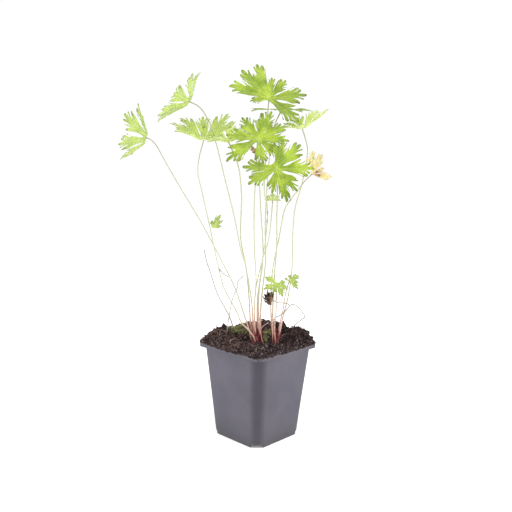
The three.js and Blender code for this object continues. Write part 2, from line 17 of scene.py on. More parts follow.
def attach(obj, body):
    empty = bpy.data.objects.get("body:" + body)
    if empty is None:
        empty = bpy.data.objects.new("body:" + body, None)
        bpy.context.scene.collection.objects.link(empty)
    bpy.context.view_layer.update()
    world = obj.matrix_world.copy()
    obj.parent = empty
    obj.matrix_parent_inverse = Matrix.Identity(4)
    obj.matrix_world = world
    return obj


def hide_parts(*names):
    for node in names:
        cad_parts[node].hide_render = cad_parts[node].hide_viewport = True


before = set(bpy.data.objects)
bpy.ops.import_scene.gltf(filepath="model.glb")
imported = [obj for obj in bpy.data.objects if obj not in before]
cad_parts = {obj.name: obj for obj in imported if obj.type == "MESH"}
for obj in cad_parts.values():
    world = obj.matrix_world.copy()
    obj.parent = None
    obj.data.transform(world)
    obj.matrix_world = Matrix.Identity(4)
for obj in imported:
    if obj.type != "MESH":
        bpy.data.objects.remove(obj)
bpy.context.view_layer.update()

MM = 0.001
PLANT_TURN = math.radians(44)
plant_to_pot = Matrix.Rotation(PLANT_TURN, 4, "Z")

# ---------------------------------------------------------------- camera, floor and light
# A camera a little over half a metre in front of the clump, level with its upper leaves and tipped down
# a few degrees, over a white floor in a white room lit by two tall soft boxes and one overhead.

CAMERA_PLACE = Vector((-3.5, -600, 246)) * MM
CAMERA_DIP = math.radians(5.4)
CAMERA_LEAN = math.radians(1.02)
SENSOR_WIDTH = 36
LENS = 40.57
CLIP_START = 0.01
# Each light: its place and what it faces, in metres in the plant's frame, its width and height, and watts.
SOFT_BOXES = {
    "left_box": ((-1.3, -0.25, 0.5), (0, 0, 0.15), 0.9, 1.3, 15),
    "right_box": ((1.3, -0.15, 0.5), (0, 0, 0.15), 0.9, 1.3, 18.2),
    "top_box": ((0.1, -0.45, 1.5), (0, 0, 0.2), 1.2, 1.0, 10),
}
ROOM_STRENGTH = 1.02
FLOOR_GLOW = 0.12
FLOOR_RADIUS = 6
FLOOR_DROP = 0.0004  # keeps the floor just clear of the foot


def scene_object(name, data):
    """An object of the scene, made from its data."""
    made = bpy.data.objects.new(name, data)
    bpy.context.scene.collection.objects.link(made)
    return made


def mesh_of(bm, name):
    """The mesh that was worked out in bm, which is freed."""
    mesh = bpy.data.meshes.new(name)
    bm.to_mesh(mesh)
    bm.free()
    return mesh


def add_node(tree, kind, values=(), **settings):
    """Adds a shader node, with its settings, and its inputs filled with values or linked to outputs."""
    made = tree.nodes.new("ShaderNode" + kind)
    for key, value in settings.items():
        setattr(made, key, value)
    for key, value in dict(values).items():
        if isinstance(value, bpy.types.NodeSocket):
            tree.links.new(value, made.inputs[key])
        else:
            made.inputs[key].default_value = value
    return made


def new_material(name):
    """An empty material and its tree."""
    material = bpy.data.materials.new(name)
    material.use_nodes = True
    material.node_tree.nodes.clear()
    return material, material.node_tree


def add_surface(tree, shown, roughness, more, see_through=0.0):
    """Ends a material with its surface, and with the light that comes through where it is thin."""
    shader = add_node(tree, "BsdfPrincipled", {"Base Color": shown, "Roughness": roughness, **more})
    if see_through:
        glow = add_node(tree, "BsdfTranslucent", {"Color": shown, "Normal": more["Normal"]})
        shader = add_node(tree, "MixShader", {0: see_through, 1: shader.outputs[0], 2: glow.outputs[0]})
    add_node(tree, "OutputMaterial", {"Surface": shader.outputs[0]})


camera = scene_object("camera", bpy.data.cameras.new("camera"))
camera.data.sensor_width = SENSOR_WIDTH
camera.data.lens = LENS
camera.data.clip_start = CLIP_START
camera.matrix_world = (
    plant_to_pot
    @ Matrix.Translation(CAMERA_PLACE)
    @ Matrix.Rotation(math.pi / 2 - CAMERA_DIP, 4, "X")
    @ Matrix.Rotation(CAMERA_LEAN, 4, "Z")
)
bpy.context.scene.camera = camera
bpy.context.scene.view_settings.view_transform = "Standard"

for name, (place, aim, width, height, watts) in SOFT_BOXES.items():
    light = bpy.data.lights.new(name, "AREA")
    light.shape = "RECTANGLE"
    light.size = width
    light.size_y = height
    light.energy = watts
    lamp = scene_object(name, light)
    facing = (Vector(aim) - Vector(place)).to_track_quat("-Z", "Y").to_matrix().to_4x4()
    lamp.matrix_world = plant_to_pot @ Matrix.Translation(place) @ facing
    lamp.visible_camera = False

world = bpy.data.worlds.new("white_room")
world.use_nodes = True
room_light = world.node_tree.nodes["Background"].inputs
room_light["Color"].default_value = (1, 1, 1, 1)
room_light["Strength"].default_value = ROOM_STRENGTH
bpy.context.scene.world = world

floor_paint, tree = new_material("floor_paint")
add_surface(tree, (0.93, 0.93, 0.93, 1), 0.9, {
    "Specular IOR Level": 0.0, "Emission Color": (1, 1, 1, 1), "Emission Strength": FLOOR_GLOW,
})
bm = bmesh.new()
bmesh.ops.create_circle(bm, cap_ends=True, segments=64, radius=FLOOR_RADIUS)
floor = scene_object("floor", mesh_of(bm, "floor"))
floor.data.materials.append(floor_paint)
floor.location.z = -FLOOR_DROP


# ---------------------------------------------------------------- pot
# A square nursery pot, vacuum-formed from thin dark plastic. Its walls taper to the foot, its corners
# are cut off flat and smooth, and its rim is turned down. It stands on its walls, with a gap at each corner.

POT_HEIGHT = 98
RIM_BOTTOM = 93
RIM_WIDTH = 90
RIM_FILLET = 6
WALL = 1
TOP_WIDTH = 86.4  # of the walls, at the level of the rim's bottom
FOOT_WIDTH = 67.5
CORNER_SHARE = 0.152  # width of a cut corner, as a share of the pot's
CORNER_FILLET = 9
WALL_BOW = 0.5  # how far the middle of a wall stands out, pushed by the compost
WALL_LEVELS = (8, 16, 28, 42, 56, 68, 78, 86)  # where the walls have an outline of their own
GAP_HEIGHT = 3.4
GAP_OVERLAP = 1.6  # how far a gap in the foot runs on past its cut corner
FLOOR_LEVEL = 4
FLOOR_TOP = 5.2
DRAIN_RADIUS = 3.2
DRAIN_CIRCLE = 19
PAD_RADIUS = 7
PAD_HEIGHT = 4.6
SIDE_POINTS = 9
ARC_POINTS = 8
EDGE_ROUNDING = 0.3


def around(angle, reach=1.0):
    """The point so far from the middle in a direction."""
    return reach * math.cos(angle), reach * math.sin(angle)


def of_kind(kind, items):
    """The vertices, the edges or the faces in a mixed list."""
    return [item for item in items if isinstance(item, kind)]


def note(bm, name, value_of):
    """Notes on each vertex of a mesh a number that its material reads."""
    layer = bm.verts.layers.float.new(name)
    for vert in bm.verts:
        vert[layer] = value_of(vert)


def pot_outline(width, cut, fillet, bow=0.0):
    """A square with its corners cut by so much of each side and rounded, anticlockwise from the +X side."""
    half = width / 2
    flat_end = half - cut - fillet * math.tan(math.pi / 8)
    quarter = []
    for i in range(1, SIDE_POINTS):
        y = flat_end * (2 * i / SIDE_POINTS - 1)
        quarter.append((half + bow * (1 - (y / flat_end) ** 2), y))
    for x, y, start in ((half - fillet, flat_end, 0), (flat_end, half - fillet, math.pi / 4)):
        for i in range(ARC_POINTS):
            angle = start + math.pi / 4 * i / (ARC_POINTS - 1)
            quarter.append((x + fillet * math.cos(angle), y + fillet * math.sin(angle)))
    turns = [Matrix.Rotation(side * math.pi / 2, 2) for side in range(4)]
    return [turn @ Vector(point) for turn in turns for point in quarter]


def loop_at(bm, outline, z):
    """A closed loop of edges along an outline at one level."""
    ring = [bm.verts.new((x, y, z)) for x, y in outline]
    return [bm.edges.new((a, b)) for a, b in zip(ring, ring[1:] + ring[:1])]


def body_width(z):
    """Width of the pot between its flat walls at one level."""
    return FOOT_WIDTH + (TOP_WIDTH - FOOT_WIDTH) * z / RIM_BOTTOM


def corner_cut(width):
    """What a cut corner takes of each side of a square."""
    return CORNER_SHARE * width / math.sqrt(2)


def wall_outline(z):
    """The outside of the walls at one level."""
    width = body_width(z)
    bow = WALL_BOW * math.sin(math.pi * min(z / POT_HEIGHT, 1)) ** 0.7
    return pot_outline(width, corner_cut(width), CORNER_FILLET, bow)


def towards_corner(vert):
    """How much a point faces a corner: 0 on a flat wall and on the rim, 1 in the middle of a cut corner."""
    least, most = sorted((abs(vert.normal.x), abs(vert.normal.y)))
    return least / max(most, 1e-6) if vert.co.z <= RIM_BOTTOM else 0.0


bm = bmesh.new()
under_rim = POT_HEIGHT - WALL
loops = [loop_at(bm, wall_outline(z), z) for z in (0, GAP_HEIGHT, *WALL_LEVELS, RIM_BOTTOM, under_rim)]
inner_fillet = RIM_FILLET - WALL
rim_shape = pot_outline(RIM_WIDTH - 2 * WALL, inner_fillet * (2 - math.sqrt(2)), inner_fillet)
loops += [loop_at(bm, rim_shape, z) for z in (under_rim, RIM_BOTTOM)]
for below, above in zip(loops, loops[1:]):
    bmesh.ops.bridge_loops(bm, edges=below + above)
gap_from = FOOT_WIDTH / 2 - corner_cut(FOOT_WIDTH) - GAP_OVERLAP
gap_faces = []
for face in bm.faces:
    middle = face.calc_center_median()
    if middle.z < GAP_HEIGHT and min(abs(middle.x), abs(middle.y)) > gap_from:
        gap_faces.append(face)
bmesh.ops.delete(bm, geom=gap_faces, context="FACES")
bmesh.ops.recalc_face_normals(bm, faces=bm.faces)
walls = [face for face in bm.faces if face.calc_center_median().z < RIM_BOTTOM]
if max(walls, key=lambda face: face.calc_center_median().x).normal.x < 0:
    bmesh.ops.reverse_faces(bm, faces=bm.faces)
bm.normal_update()
note(bm, "cut_corner", towards_corner)
bmesh.ops.solidify(bm, geom=bm.faces[:], thickness=WALL)

plate_width = body_width(FLOOR_LEVEL) - WALL
plate_edges = loop_at(bm, pot_outline(plate_width, corner_cut(plate_width), CORNER_FILLET), FLOOR_LEVEL)
for side in range(4):
    place = Matrix.Translation((*around(side * math.pi / 2, DRAIN_CIRCLE), FLOOR_LEVEL))
    hole = bmesh.ops.create_circle(bm, segments=24, radius=DRAIN_RADIUS, matrix=place)
    plate_edges += list(dict.fromkeys(edge for vert in hole["verts"] for edge in vert.link_edges))
plate = bmesh.ops.triangle_fill(bm, edges=plate_edges, use_beauty=True, normal=(0, 0, -1))
plate_faces = of_kind(bmesh.types.BMFace, plate["geom"])
for face in plate_faces:
    if face.normal.z > 0:
        face.normal_flip()
raised_plate = bmesh.ops.extrude_face_region(bm, geom=plate_faces, use_keep_orig=True)
risen = of_kind(bmesh.types.BMVert, raised_plate["geom"])
bmesh.ops.translate(bm, vec=(0, 0, FLOOR_TOP - FLOOR_LEVEL), verts=risen)
bmesh.ops.create_cone(
    bm, cap_ends=True, segments=48, radius1=PAD_RADIUS, radius2=PAD_RADIUS,
    depth=PAD_HEIGHT, matrix=Matrix.Translation((0, 0, PAD_HEIGHT / 2)),
)
bmesh.ops.recalc_face_normals(bm, faces=bm.faces)


def place_on(tree):
    """The place on the object, in metres, that a pattern follows."""
    return add_node(tree, "TexCoord").outputs["Object"]


def axis_of(tree, vector, axis):
    return add_node(tree, "SeparateXYZ", {"Vector": vector}).outputs[axis]


def drawn_out(tree, place, squeeze):
    """A place squeezed along the height, so that a pattern on it runs up and down."""
    return add_node(tree, "Mapping", {"Vector": place, "Scale": (1.0, 1.0, squeeze)}).outputs[0]


def named_value(tree, name):
    """A number that was noted on each vertex of the mesh."""
    return add_node(tree, "Attribute", attribute_name=name).outputs["Fac"]


def noise_field(tree, place, scale, detail=3.0, roughness=0.55):
    """Soft noise between 0 and 1, with so many features to the metre."""
    values = {"Vector": place, "Scale": scale, "Detail": detail, "Roughness": roughness}
    return add_node(tree, "TexNoise", values).outputs[0]


def ranged(tree, value, low, high, to_low=0.0, to_high=1.0):
    """A value stretched from one range to another, and held inside it."""
    values = {"Value": value, "From Min": low, "From Max": high, "To Min": to_low, "To Max": to_high}
    return add_node(tree, "MapRange", values, interpolation_type="SMOOTHSTEP").outputs[0]


def patches(tree, place, scale, low, high, most=1.0, detail=3.0, roughness=0.55):
    """Patches of noise: 0 where it is below low, and most where it is above high."""
    return ranged(tree, noise_field(tree, place, scale, detail, roughness), low, high, 0.0, most)


def maths(tree, operation, first, second=0.0):
    return add_node(tree, "Math", {0: first, 1: second}, operation=operation).outputs[0]


def times(tree, first, second):
    return maths(tree, "MULTIPLY", first, second)


def painted(shade):
    """A shader's colour, from one that a paint chart gives from 0 to 255. A shader's own output stays."""
    if isinstance(shade, bpy.types.NodeSocket):
        return shade
    return tuple((channel / 255) ** 2.2 for channel in shade) + (1.0,)


def layered(tree, ground, *layers):
    """A colour with others laid over it in turn, each as much as its factor says."""
    for factor, over in layers:
        values = {0: factor, 6: painted(ground), 7: painted(over)}
        ground = add_node(tree, "Mix", values, data_type="RGBA").outputs[2]
    return ground


def raised_by(tree, height, distance, strength=1.0):
    """The surface's normal, tilted by a height that stands for so many metres."""
    return add_node(tree, "Bump", {"Height": height, "Distance": distance, "Strength": strength}).outputs[0]


pot_plastic, tree = new_material("pot_plastic")
place = place_on(tree)
height_up = axis_of(tree, place, "Z")
cut_corner = named_value(tree, "cut_corner")
grain = noise_field(tree, place, 2600, 2)
dust_height = ranged(tree, height_up, 0.086, 0.099, 0.0, 0.8)
body_colour = layered(
    tree, (71, 69, 79),
    (patches(tree, place, 28, 0.3, 0.7), (79, 76, 86)),
    # painted shade: the cut corners are darker, for the dark reflected in their smooth faces
    (cut_corner, (60, 56, 66)),
    (ranged(tree, height_up, 0.0, 0.03, 0.55, 0.0), (66, 64, 66)),
    (times(tree, dust_height, patches(tree, place, 420, 0.5, 0.68, detail=4)), (96, 80, 74)),
)
gloss = maths(tree, "ADD", ranged(tree, cut_corner, 0, 1, 0.5, 0.32), times(tree, grain, 0.12))
scuffed = maths(tree, "ADD", gloss, patches(tree, place, 90, 0.45, 0.75, 0.08, 6, 0.7))
add_surface(tree, body_colour, scuffed, {
    "Specular IOR Level": 0.32, "Normal": raised_by(tree, grain, 0.00003, 0.5),
})


def piece_from(bm, name, materials, replaced, in_plant_frame=True, sharp_from=None):
    """A piece on the plant's one body, from a mesh in millimetres, in place of the model's plain nodes."""
    if in_plant_frame:
        bmesh.ops.rotate(bm, cent=(0, 0, 0), matrix=Matrix.Rotation(PLANT_TURN, 3, "Z"), verts=bm.verts)
    bmesh.ops.scale(bm, vec=(MM, MM, MM), verts=bm.verts)
    mesh = mesh_of(bm, name)
    mesh.shade_smooth()
    if sharp_from is not None:
        mesh.set_sharp_from_angle(angle=math.radians(sharp_from))
    for material in materials:
        mesh.materials.append(material)
    piece = scene_object(name, mesh)
    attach(piece, "root")
    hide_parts(*replaced)
    return piece


pot = piece_from(bm, "nursery_pot", [pot_plastic], ["pot"], in_plant_frame=False, sharp_from=40)
softened_edges = pot.modifiers.new("softened_edges", "BEVEL")
softened_edges.width = EDGE_ROUNDING * MM
softened_edges.segments = 2
softened_edges.limit_method = "ANGLE"
softened_edges.angle_limit = math.radians(50)


# ---------------------------------------------------------------- compost
# Peaty compost that fills the pot and is heaped over its rim, higher at the back. Its top is loose
# crumbs with darker clods, a few pale chips of bark and many short fibres, some of which hang over the rim.

# Mounds in the plant's frame: the middle, the spread both ways, and the height.
MOUNDS = [(8, 30, 44, 17, 15), (-39, 5, 20, 15, 11), (46, 7, 15, 14, 12), (8, -34, 30, 14, 1.5)]
HOLLOW = (8, -9, 24, 13)  # the dip around the crowns: its middle and spread
EDGE = 1.2  # thickness of the compost that lies on the rim
SEAT_GAP = 0.3
HEAP_CORNER = 9
HEAP_WIDTH = 91.6
HEAP_CELLS = 190
SHOULDER = 0.14  # share of the way to the edge over which the heap falls off
DRAPE = 3.0  # how far the compost hangs down over the rim at the front
RIM_REST = POT_HEIGHT + 0.15
BELOW_RIM = POT_HEIGHT - 8
# The edge that hangs over the rim, in steps: width across the flats, and share of the way down.
OVERHANG = ((HEAP_WIDTH + 0.3, 0.35), (HEAP_WIDTH + 0.1, 0.7), (HEAP_WIDTH - 0.6, 1), (RIM_WIDTH + 0.2, 0))
CRUMBS = 1500
CLODS = 110
RIM_CRUMBS = 260
FIBRES = 700
CHIPS = 46
# Clods that stand up on the edge of the heap: place in the plant's frame, and size.
STANDING_CLODS = [
    (-36, 10, 6.0), (-31, 14, 4.5), (5, 41, 6.5), (11, 39, 5), (53, 8, 6.5), (49, 13, 5), (57, 3, 4),
]
pot_to_plant = Matrix.Rotation(-PLANT_TURN, 2)
dice = random.Random(7)
noise.seed_set(7)  # noise_vector would follow the clock otherwise


def heap_reach(angle, width=HEAP_WIDTH):
    """Distance from the middle to the edge of a square with round corners."""
    c, s = abs(math.cos(angle)), abs(math.sin(angle))
    half = width / 2
    flat = half / max(c, s)
    centre = half - HEAP_CORNER
    along = centre * (c + s)
    if min(c, s) * flat <= centre:
        return flat
    return along + math.sqrt(max(0, along ** 2 - 2 * centre ** 2 + HEAP_CORNER ** 2))


def inside_reach(angle, width):
    """Distance from the middle to the inside of the wall or of the cut corner."""
    c, s = abs(math.cos(angle)), abs(math.sin(angle))
    return min(width / 2 / max(c, s), (width - corner_cut(width)) / (c + s) - 0.5)


def mound(x, y, middle_x, middle_y, spread_x, spread_y):
    """How much of a mound is under a point: 1 at its middle, and less and less around it."""
    return math.exp(-(((x - middle_x) / spread_x) ** 2) - ((y - middle_y) / spread_y) ** 2)


def heap_rise(x, y):
    """Height of the heap over its edge at a point of the plant's frame."""
    rise = sum(height * mound(x, y, *spread) for *spread, height in MOUNDS)
    lumps = 0.5 * math.sin(x * 0.55 + 1) * math.sin(y * 0.48) + 0.3 * math.sin(x * 0.9 - y * 0.7)
    return (rise + lumps) * (1 - mound(x, y, *HOLLOW))


def packed(place, cracks, widest, doming):
    """Height of a face of packed lumps: low in the cracks between them, and domed by so much."""
    nearest, second = noise.voronoi(place)[0][:2]
    return cracks * min(second - nearest, widest) - doming * nearest


def crumble(x, y):
    """Clods and crumbs on the face of the compost."""
    bent = Vector((x, y, 0)) + 1.4 * noise.noise_vector(Vector((x / 5, y / 5, 3)))
    clods = packed(bent / 5.8, 2.2, 0.45, 1.5)
    crumbs = packed(bent / 2.8 + Vector((0, 0, 4.1)), 1.5, 0.4, 0.8)
    rough = noise.fractal(Vector((x / 3.0, y / 3.0, 9.0)), 1.0, 2.1, 4)
    grit = noise.noise(Vector((x * 0.9, y * 0.9, 5)))
    return clods + crumbs + 1.3 * rough + 0.6 * grit + 0.2


def heap_level(x, y, looseness=1.0):
    """Level of the compost at a point of the pot's frame, with its clods or, at looseness 0, without."""
    share = math.hypot(x, y) / heap_reach(math.atan2(y, x))
    shoulder = min(max((1 - share) / SHOULDER, 0), 1)
    px, py = pot_to_plant @ Vector((x, y))
    loose = looseness * crumble(px, py) * (0.35 + 0.65 * shoulder)
    return POT_HEIGHT + SEAT_GAP + EDGE + max(0, heap_rise(px, py)) * shoulder + loose


def heap_tone_and_crack_shade(x, y):
    """How pale the compost is at a point of the pot's frame: partly its own tone, and partly painted shade
    that follows the relief of its clods, darkest in the cracks between them.
    """
    px, py = pot_to_plant @ Vector((x, y))
    return 0.34 + 0.34 * crumble(px, py) + 0.3 * noise.noise(Vector((px / 2.2, py / 2.2, 1)))


def drape_at(angle):
    """How far the compost hangs over the rim, which is most towards the front."""
    front = min(1, max(0, 0.25 - math.sin(angle - PLANT_TURN)))
    wander = noise.noise(Vector((*around(angle, 5), 2)))
    ragged = noise.fractal(Vector((*around(angle, 17), 6)), 0.8, 2.2, 3)
    return max(0.1, DRAPE * front * (0.8 + 0.5 * wander) + (0.4 + 0.9 * front) * ragged)


def ragged_reach(angle, width):
    """The reach of the crumbly edge of a heap of this width."""
    bumps = abs(noise.noise(Vector((*around(angle), width / 19)) * 19))
    return heap_reach(angle, width) + 0.35 * bumps


def toned_mesh():
    """An empty mesh with a layer for how pale each vertex is."""
    bm = bmesh.new()
    bm.verts.layers.float.new("tone")
    return bm


def lowered_edge(bm, edges, reach_at, level_at):
    """Carries the open edge of the compost on to another reach and level, given for each direction."""
    tone = bm.verts.layers.float["tone"]
    grown = bmesh.ops.extrude_edge_only(bm, edges=edges)["geom"]
    for vert in of_kind(bmesh.types.BMVert, grown):
        angle = math.atan2(vert.co.y, vert.co.x)
        vert.co = (*around(angle, reach_at(angle)), level_at(angle))
        vert[tone] = 0.3 + 0.5 * noise.noise(vert.co / 2.2)
    return [edge for edge in of_kind(bmesh.types.BMEdge, grown) if edge.is_boundary]


heap = toned_mesh()
tone = heap.verts.layers.float["tone"]
bmesh.ops.create_grid(heap, x_segments=HEAP_CELLS, y_segments=HEAP_CELLS, size=0.5)
for vert in heap.verts:
    u, v = vert.co.x, vert.co.y
    share = max(abs(u), abs(v)) * 2
    angle = math.atan2(v, u)
    square = 0.5 * HEAP_WIDTH / max(abs(math.cos(angle)), abs(math.sin(angle)))
    pull = 1 + (heap_reach(angle) / square - 1) * share ** 4
    x, y = u * HEAP_WIDTH * pull, v * HEAP_WIDTH * pull
    ragged = 0.7 * noise.noise(Vector((x / 2.4, y / 2.4, 7))) * share ** 6
    x, y = x * (1 + ragged / 45), y * (1 + ragged / 45)
    vert.co = (x, y, heap_level(x, y))
    vert[tone] = heap_tone_and_crack_shade(x, y)
rim = [edge for edge in heap.edges if edge.is_boundary]
for width, hang in OVERHANG:
    rim = lowered_edge(heap, rim, lambda a: ragged_reach(a, width), lambda a: RIM_REST - hang * drape_at(a))
for z, level in ((POT_HEIGHT, RIM_REST), (BELOW_RIM, BELOW_RIM), (FLOOR_TOP, FLOOR_TOP + SEAT_GAP)):
    inner = body_width(z) - 2 * WALL - 2 * SEAT_GAP
    rim = lowered_edge(heap, rim, lambda a: inside_reach(a, inner), lambda a: level)
bmesh.ops.contextual_create(heap, geom=rim)
bmesh.ops.recalc_face_normals(heap, faces=heap.faces)


def scatter_place():
    """A chance place on the heap: x and y in the pot's frame, and the level there."""
    angle = dice.uniform(0, 2 * math.pi)
    x, y = around(angle, heap_reach(angle) * math.sqrt(dice.uniform(0, 1)))
    return Vector((x, y, heap_level(x, y)))


def add_crumb(bm, place, size, shade, flatness=1.0, fineness=1):
    """One rough crumb, turned any way."""
    tone = bm.verts.layers.float["tone"]
    verts = bmesh.ops.create_icosphere(bm, subdivisions=fineness, radius=1.0)["verts"]
    seed = Vector((dice.uniform(0, 50), dice.uniform(0, 50), dice.uniform(0, 50)))
    spin = dice.uniform(0, 6.28)
    turn = Matrix.Rotation(spin, 3, Vector((dice.gauss(0, 1), dice.gauss(0, 1), 1)).normalized())
    stretch = Vector((dice.uniform(0.75, 1.3), dice.uniform(0.7, 1.1), flatness * dice.uniform(0.65, 1.0)))
    for vert in verts:
        ball = vert.co.copy()
        lumpy = 0.5 * size * (1 + 0.7 * noise.noise(ball * 1.6 + seed) + dice.uniform(-0.16, 0.16))
        vert.co = turn @ (ball * stretch) * lumpy + place
        vert[tone] = shade + 0.12 * noise.noise(ball * 3 + seed)


def add_fibre(bm, place, length, thickness, shade, lift):
    """One bent root fibre or splinter on the heap, with its far end raised by a share of its length."""
    tone = bm.verts.layers.float["tone"]
    step = Vector((*around(dice.uniform(0, 2 * math.pi)), 0)) * length
    if (place + step).to_2d().length > (place - step).to_2d().length:
        step.negate()
    end = place + step
    end.z = heap_level(end.x, end.y) + lift * length
    middle = place.lerp(end, 0.5)
    cone = bmesh.ops.create_cone(
        bm, cap_ends=True, segments=4, radius1=thickness, radius2=thickness * 0.5, depth=(end - place).length
    )["verts"]
    edges = dict.fromkeys(edge for vert in cone for edge in vert.link_edges)
    long_edges = [edge for edge in edges if edge.calc_length() > length / 2]
    split = bmesh.ops.subdivide_edges(bm, edges=long_edges, cuts=4)
    inner = of_kind(bmesh.types.BMVert, split["geom_inner"])
    verts = {edge.other_vert(vert) for vert in inner for edge in vert.link_edges} | set(inner)
    lay = (end - place).to_track_quat("Z", "Y")
    seed = Vector((dice.uniform(0, 50), dice.uniform(0, 50), 0))
    for vert in verts:
        along = Vector((vert.co.z / 4, 0, 0))
        sway = Vector((noise.noise(seed + along), noise.noise(seed + along + Vector((0, 0, 3))), 0))
        vert.co = lay @ (vert.co + sway * 0.15 * length) + middle + Vector((0, 0, thickness))
        vert[tone] = shade


def lay_down(batch):
    """Adds a batch of loose things to the heap. Made one by one on it, they would take minutes."""
    mesh = mesh_of(batch, "batch")
    heap.from_mesh(mesh)
    bpy.data.meshes.remove(mesh)


batch = toned_mesh()
for number in range(CRUMBS):
    place = scatter_place()
    size = 0.8 + 1.6 * dice.random() ** 2
    add_crumb(batch, place + Vector((0, 0, size * 0.2)), size, dice.uniform(0, 1) ** 1.5 * 1.1)
lay_down(batch)

batch = toned_mesh()
for number in range(CLODS):
    place = scatter_place()
    size = 2.4 + 2.4 * dice.random() ** 2
    add_crumb(batch, place + Vector((0, 0, size * 0.1)), size, dice.uniform(0.0, 0.7), fineness=2)
for number in range(RIM_CRUMBS):
    angle = PLANT_TURN - math.pi / 2 + dice.uniform(-2.0, 2.0)
    level = RIM_REST - drape_at(angle) * dice.uniform(-0.3, 1.05)
    size = dice.uniform(0.6, 2.1)
    add_crumb(batch, Vector((*around(angle, heap_reach(angle)), level)), size, dice.uniform(0, 0.6))
for x, y, size in STANDING_CLODS:
    place = (plant_to_pot @ Vector((x, y, 0))).to_2d()
    level = heap_level(place.x, place.y) + size * 0.3
    add_crumb(batch, Vector((place.x, place.y, level)), size, 0.15, fineness=2)
lay_down(batch)

batch = toned_mesh()
for number in range(FIBRES):
    place = scatter_place()
    if (pot_to_plant @ place.to_2d()).x > dice.uniform(-20, 60):
        continue
    length = 2.5 + 6.5 * dice.random() ** 2
    lift = max(0, dice.uniform(-0.5, 0.4))
    add_fibre(batch, place, length, dice.uniform(0.1, 0.26), dice.uniform(0.5, 1.9), lift)
for number in range(CHIPS):
    size = dice.uniform(1.2, 3.2)
    place = scatter_place() + Vector((0, 0, 0.3))
    add_crumb(batch, place, size, dice.uniform(1.2, 2.0), flatness=0.35)
lay_down(batch)

compost_face, tree = new_material("compost_face")
place = place_on(tree)
tone_and_crack_shade = named_value(tree, "tone")
fine = noise_field(tree, place, 430, 5, 0.7)
towards_right = (*around(PLANT_TURN - math.radians(37)), 0)  # a little towards the front, too
across = add_node(tree, "VectorMath", {0: place, 1: towards_right}, operation="DOT_PRODUCT").outputs["Value"]
lit_peat = layered(tree, (90, 70, 66), (ranged(tree, across, -0.02, 0.02), (66, 51, 54)))
# The tone carries painted shade on the heap: its cracks take the dark ground colour, the tops of its clods
# the lit peat.
peat_colour = layered(
    tree, (20, 13, 14),
    (ranged(tree, tone_and_crack_shade, 0.05, 0.9), lit_peat),
    (patches(tree, place, 110, 0.46, 0.66, 0.5), (66, 45, 40)),
    # painted highlights: pale grey flecks on the crumbs
    (ranged(tree, fine, 0.57, 0.7, 0, 0.9), (138, 124, 118)),
    (ranged(tree, tone_and_crack_shade, 1.0, 1.6), layered(tree, (120, 100, 88), (fine, (184, 162, 148)))),
)
grit = maths(tree, "ADD", fine, times(tree, noise_field(tree, place, 2600, 3, 0.7), 0.4))
add_surface(tree, peat_colour, 0.92, {"Specular IOR Level": 0.25, "Normal": raised_by(tree, grit, 0.0007)})
piece_from(heap, "compost_heap", [compost_face], ["soil"], in_plant_frame=False, sharp_from=32)


# ---------------------------------------------------------------- moss
# Two patches of moss that have grown on the compost: low soft cushions that follow its slope, covered with
# short upright shoots that are paler at their tips, and with a few taller sprigs at the back.

# Each patch: its cushions, as place in the plant's frame and reach, how far they rise, the number of its
# shoots, and the place and number of its taller sprigs.
MOSSES = {
    "moss_left": (
        [(-29, 6, 4.5), (-23, 10, 6), (-16, 12, 5), (-26, 16, 5), (-18, 20, 6), (-12, 18, 4)], 2.0, 950,
        (-14, 26, 26)),
    "moss_right": ([(7, -5, 3), (7, 0, 3.5), (8, 5, 4), (6, 10, 4.5), (10, 13, 4)], 1.6, 420, (8, 11, 6)),
}

moss_green, tree = new_material("moss_green")
place = place_on(tree)
specks = noise_field(tree, place, 1500, 4, 0.7)
green = layered(
    tree, (36, 32, 24),
    (patches(tree, place, 260, 0.42, 0.6), (118, 118, 62)),
    (ranged(tree, specks, 0.5, 0.68), (132, 128, 84)),
    (patches(tree, place, 520, 0.5, 0.57, 0.85, 3, 0.6), (34, 28, 22)),
    (named_value(tree, "shoot_tip"), (206, 206, 136)),
)
add_surface(tree, green, 0.85, {"Normal": raised_by(tree, specks, 0.0004, 0.8)})


def moss_level(x, y):
    """Level of the compost, without its clods, at a point of the plant's frame."""
    spot = plant_to_pot @ Vector((x, y, 0))
    return heap_level(spot.x, spot.y, looseness=0.0)


def add_shoot(bm, layer, foot, leaning, length, thickness):
    """One tapered shoot of moss, paler towards its tip."""
    lean = leaning.to_track_quat("Z", "Y").to_matrix().to_4x4()
    stand = Matrix.Translation(foot) @ lean @ Matrix.Translation((0, 0, length * 0.35))
    ends = bmesh.ops.create_cone(
        bm, cap_ends=True, segments=5, radius1=thickness, radius2=0.04, depth=length, matrix=stand
    )["verts"]
    paleness = dice.random() ** 2
    for vert in ends:
        vert[layer] = paleness if (vert.co - foot).length > length * 0.5 else 0.0


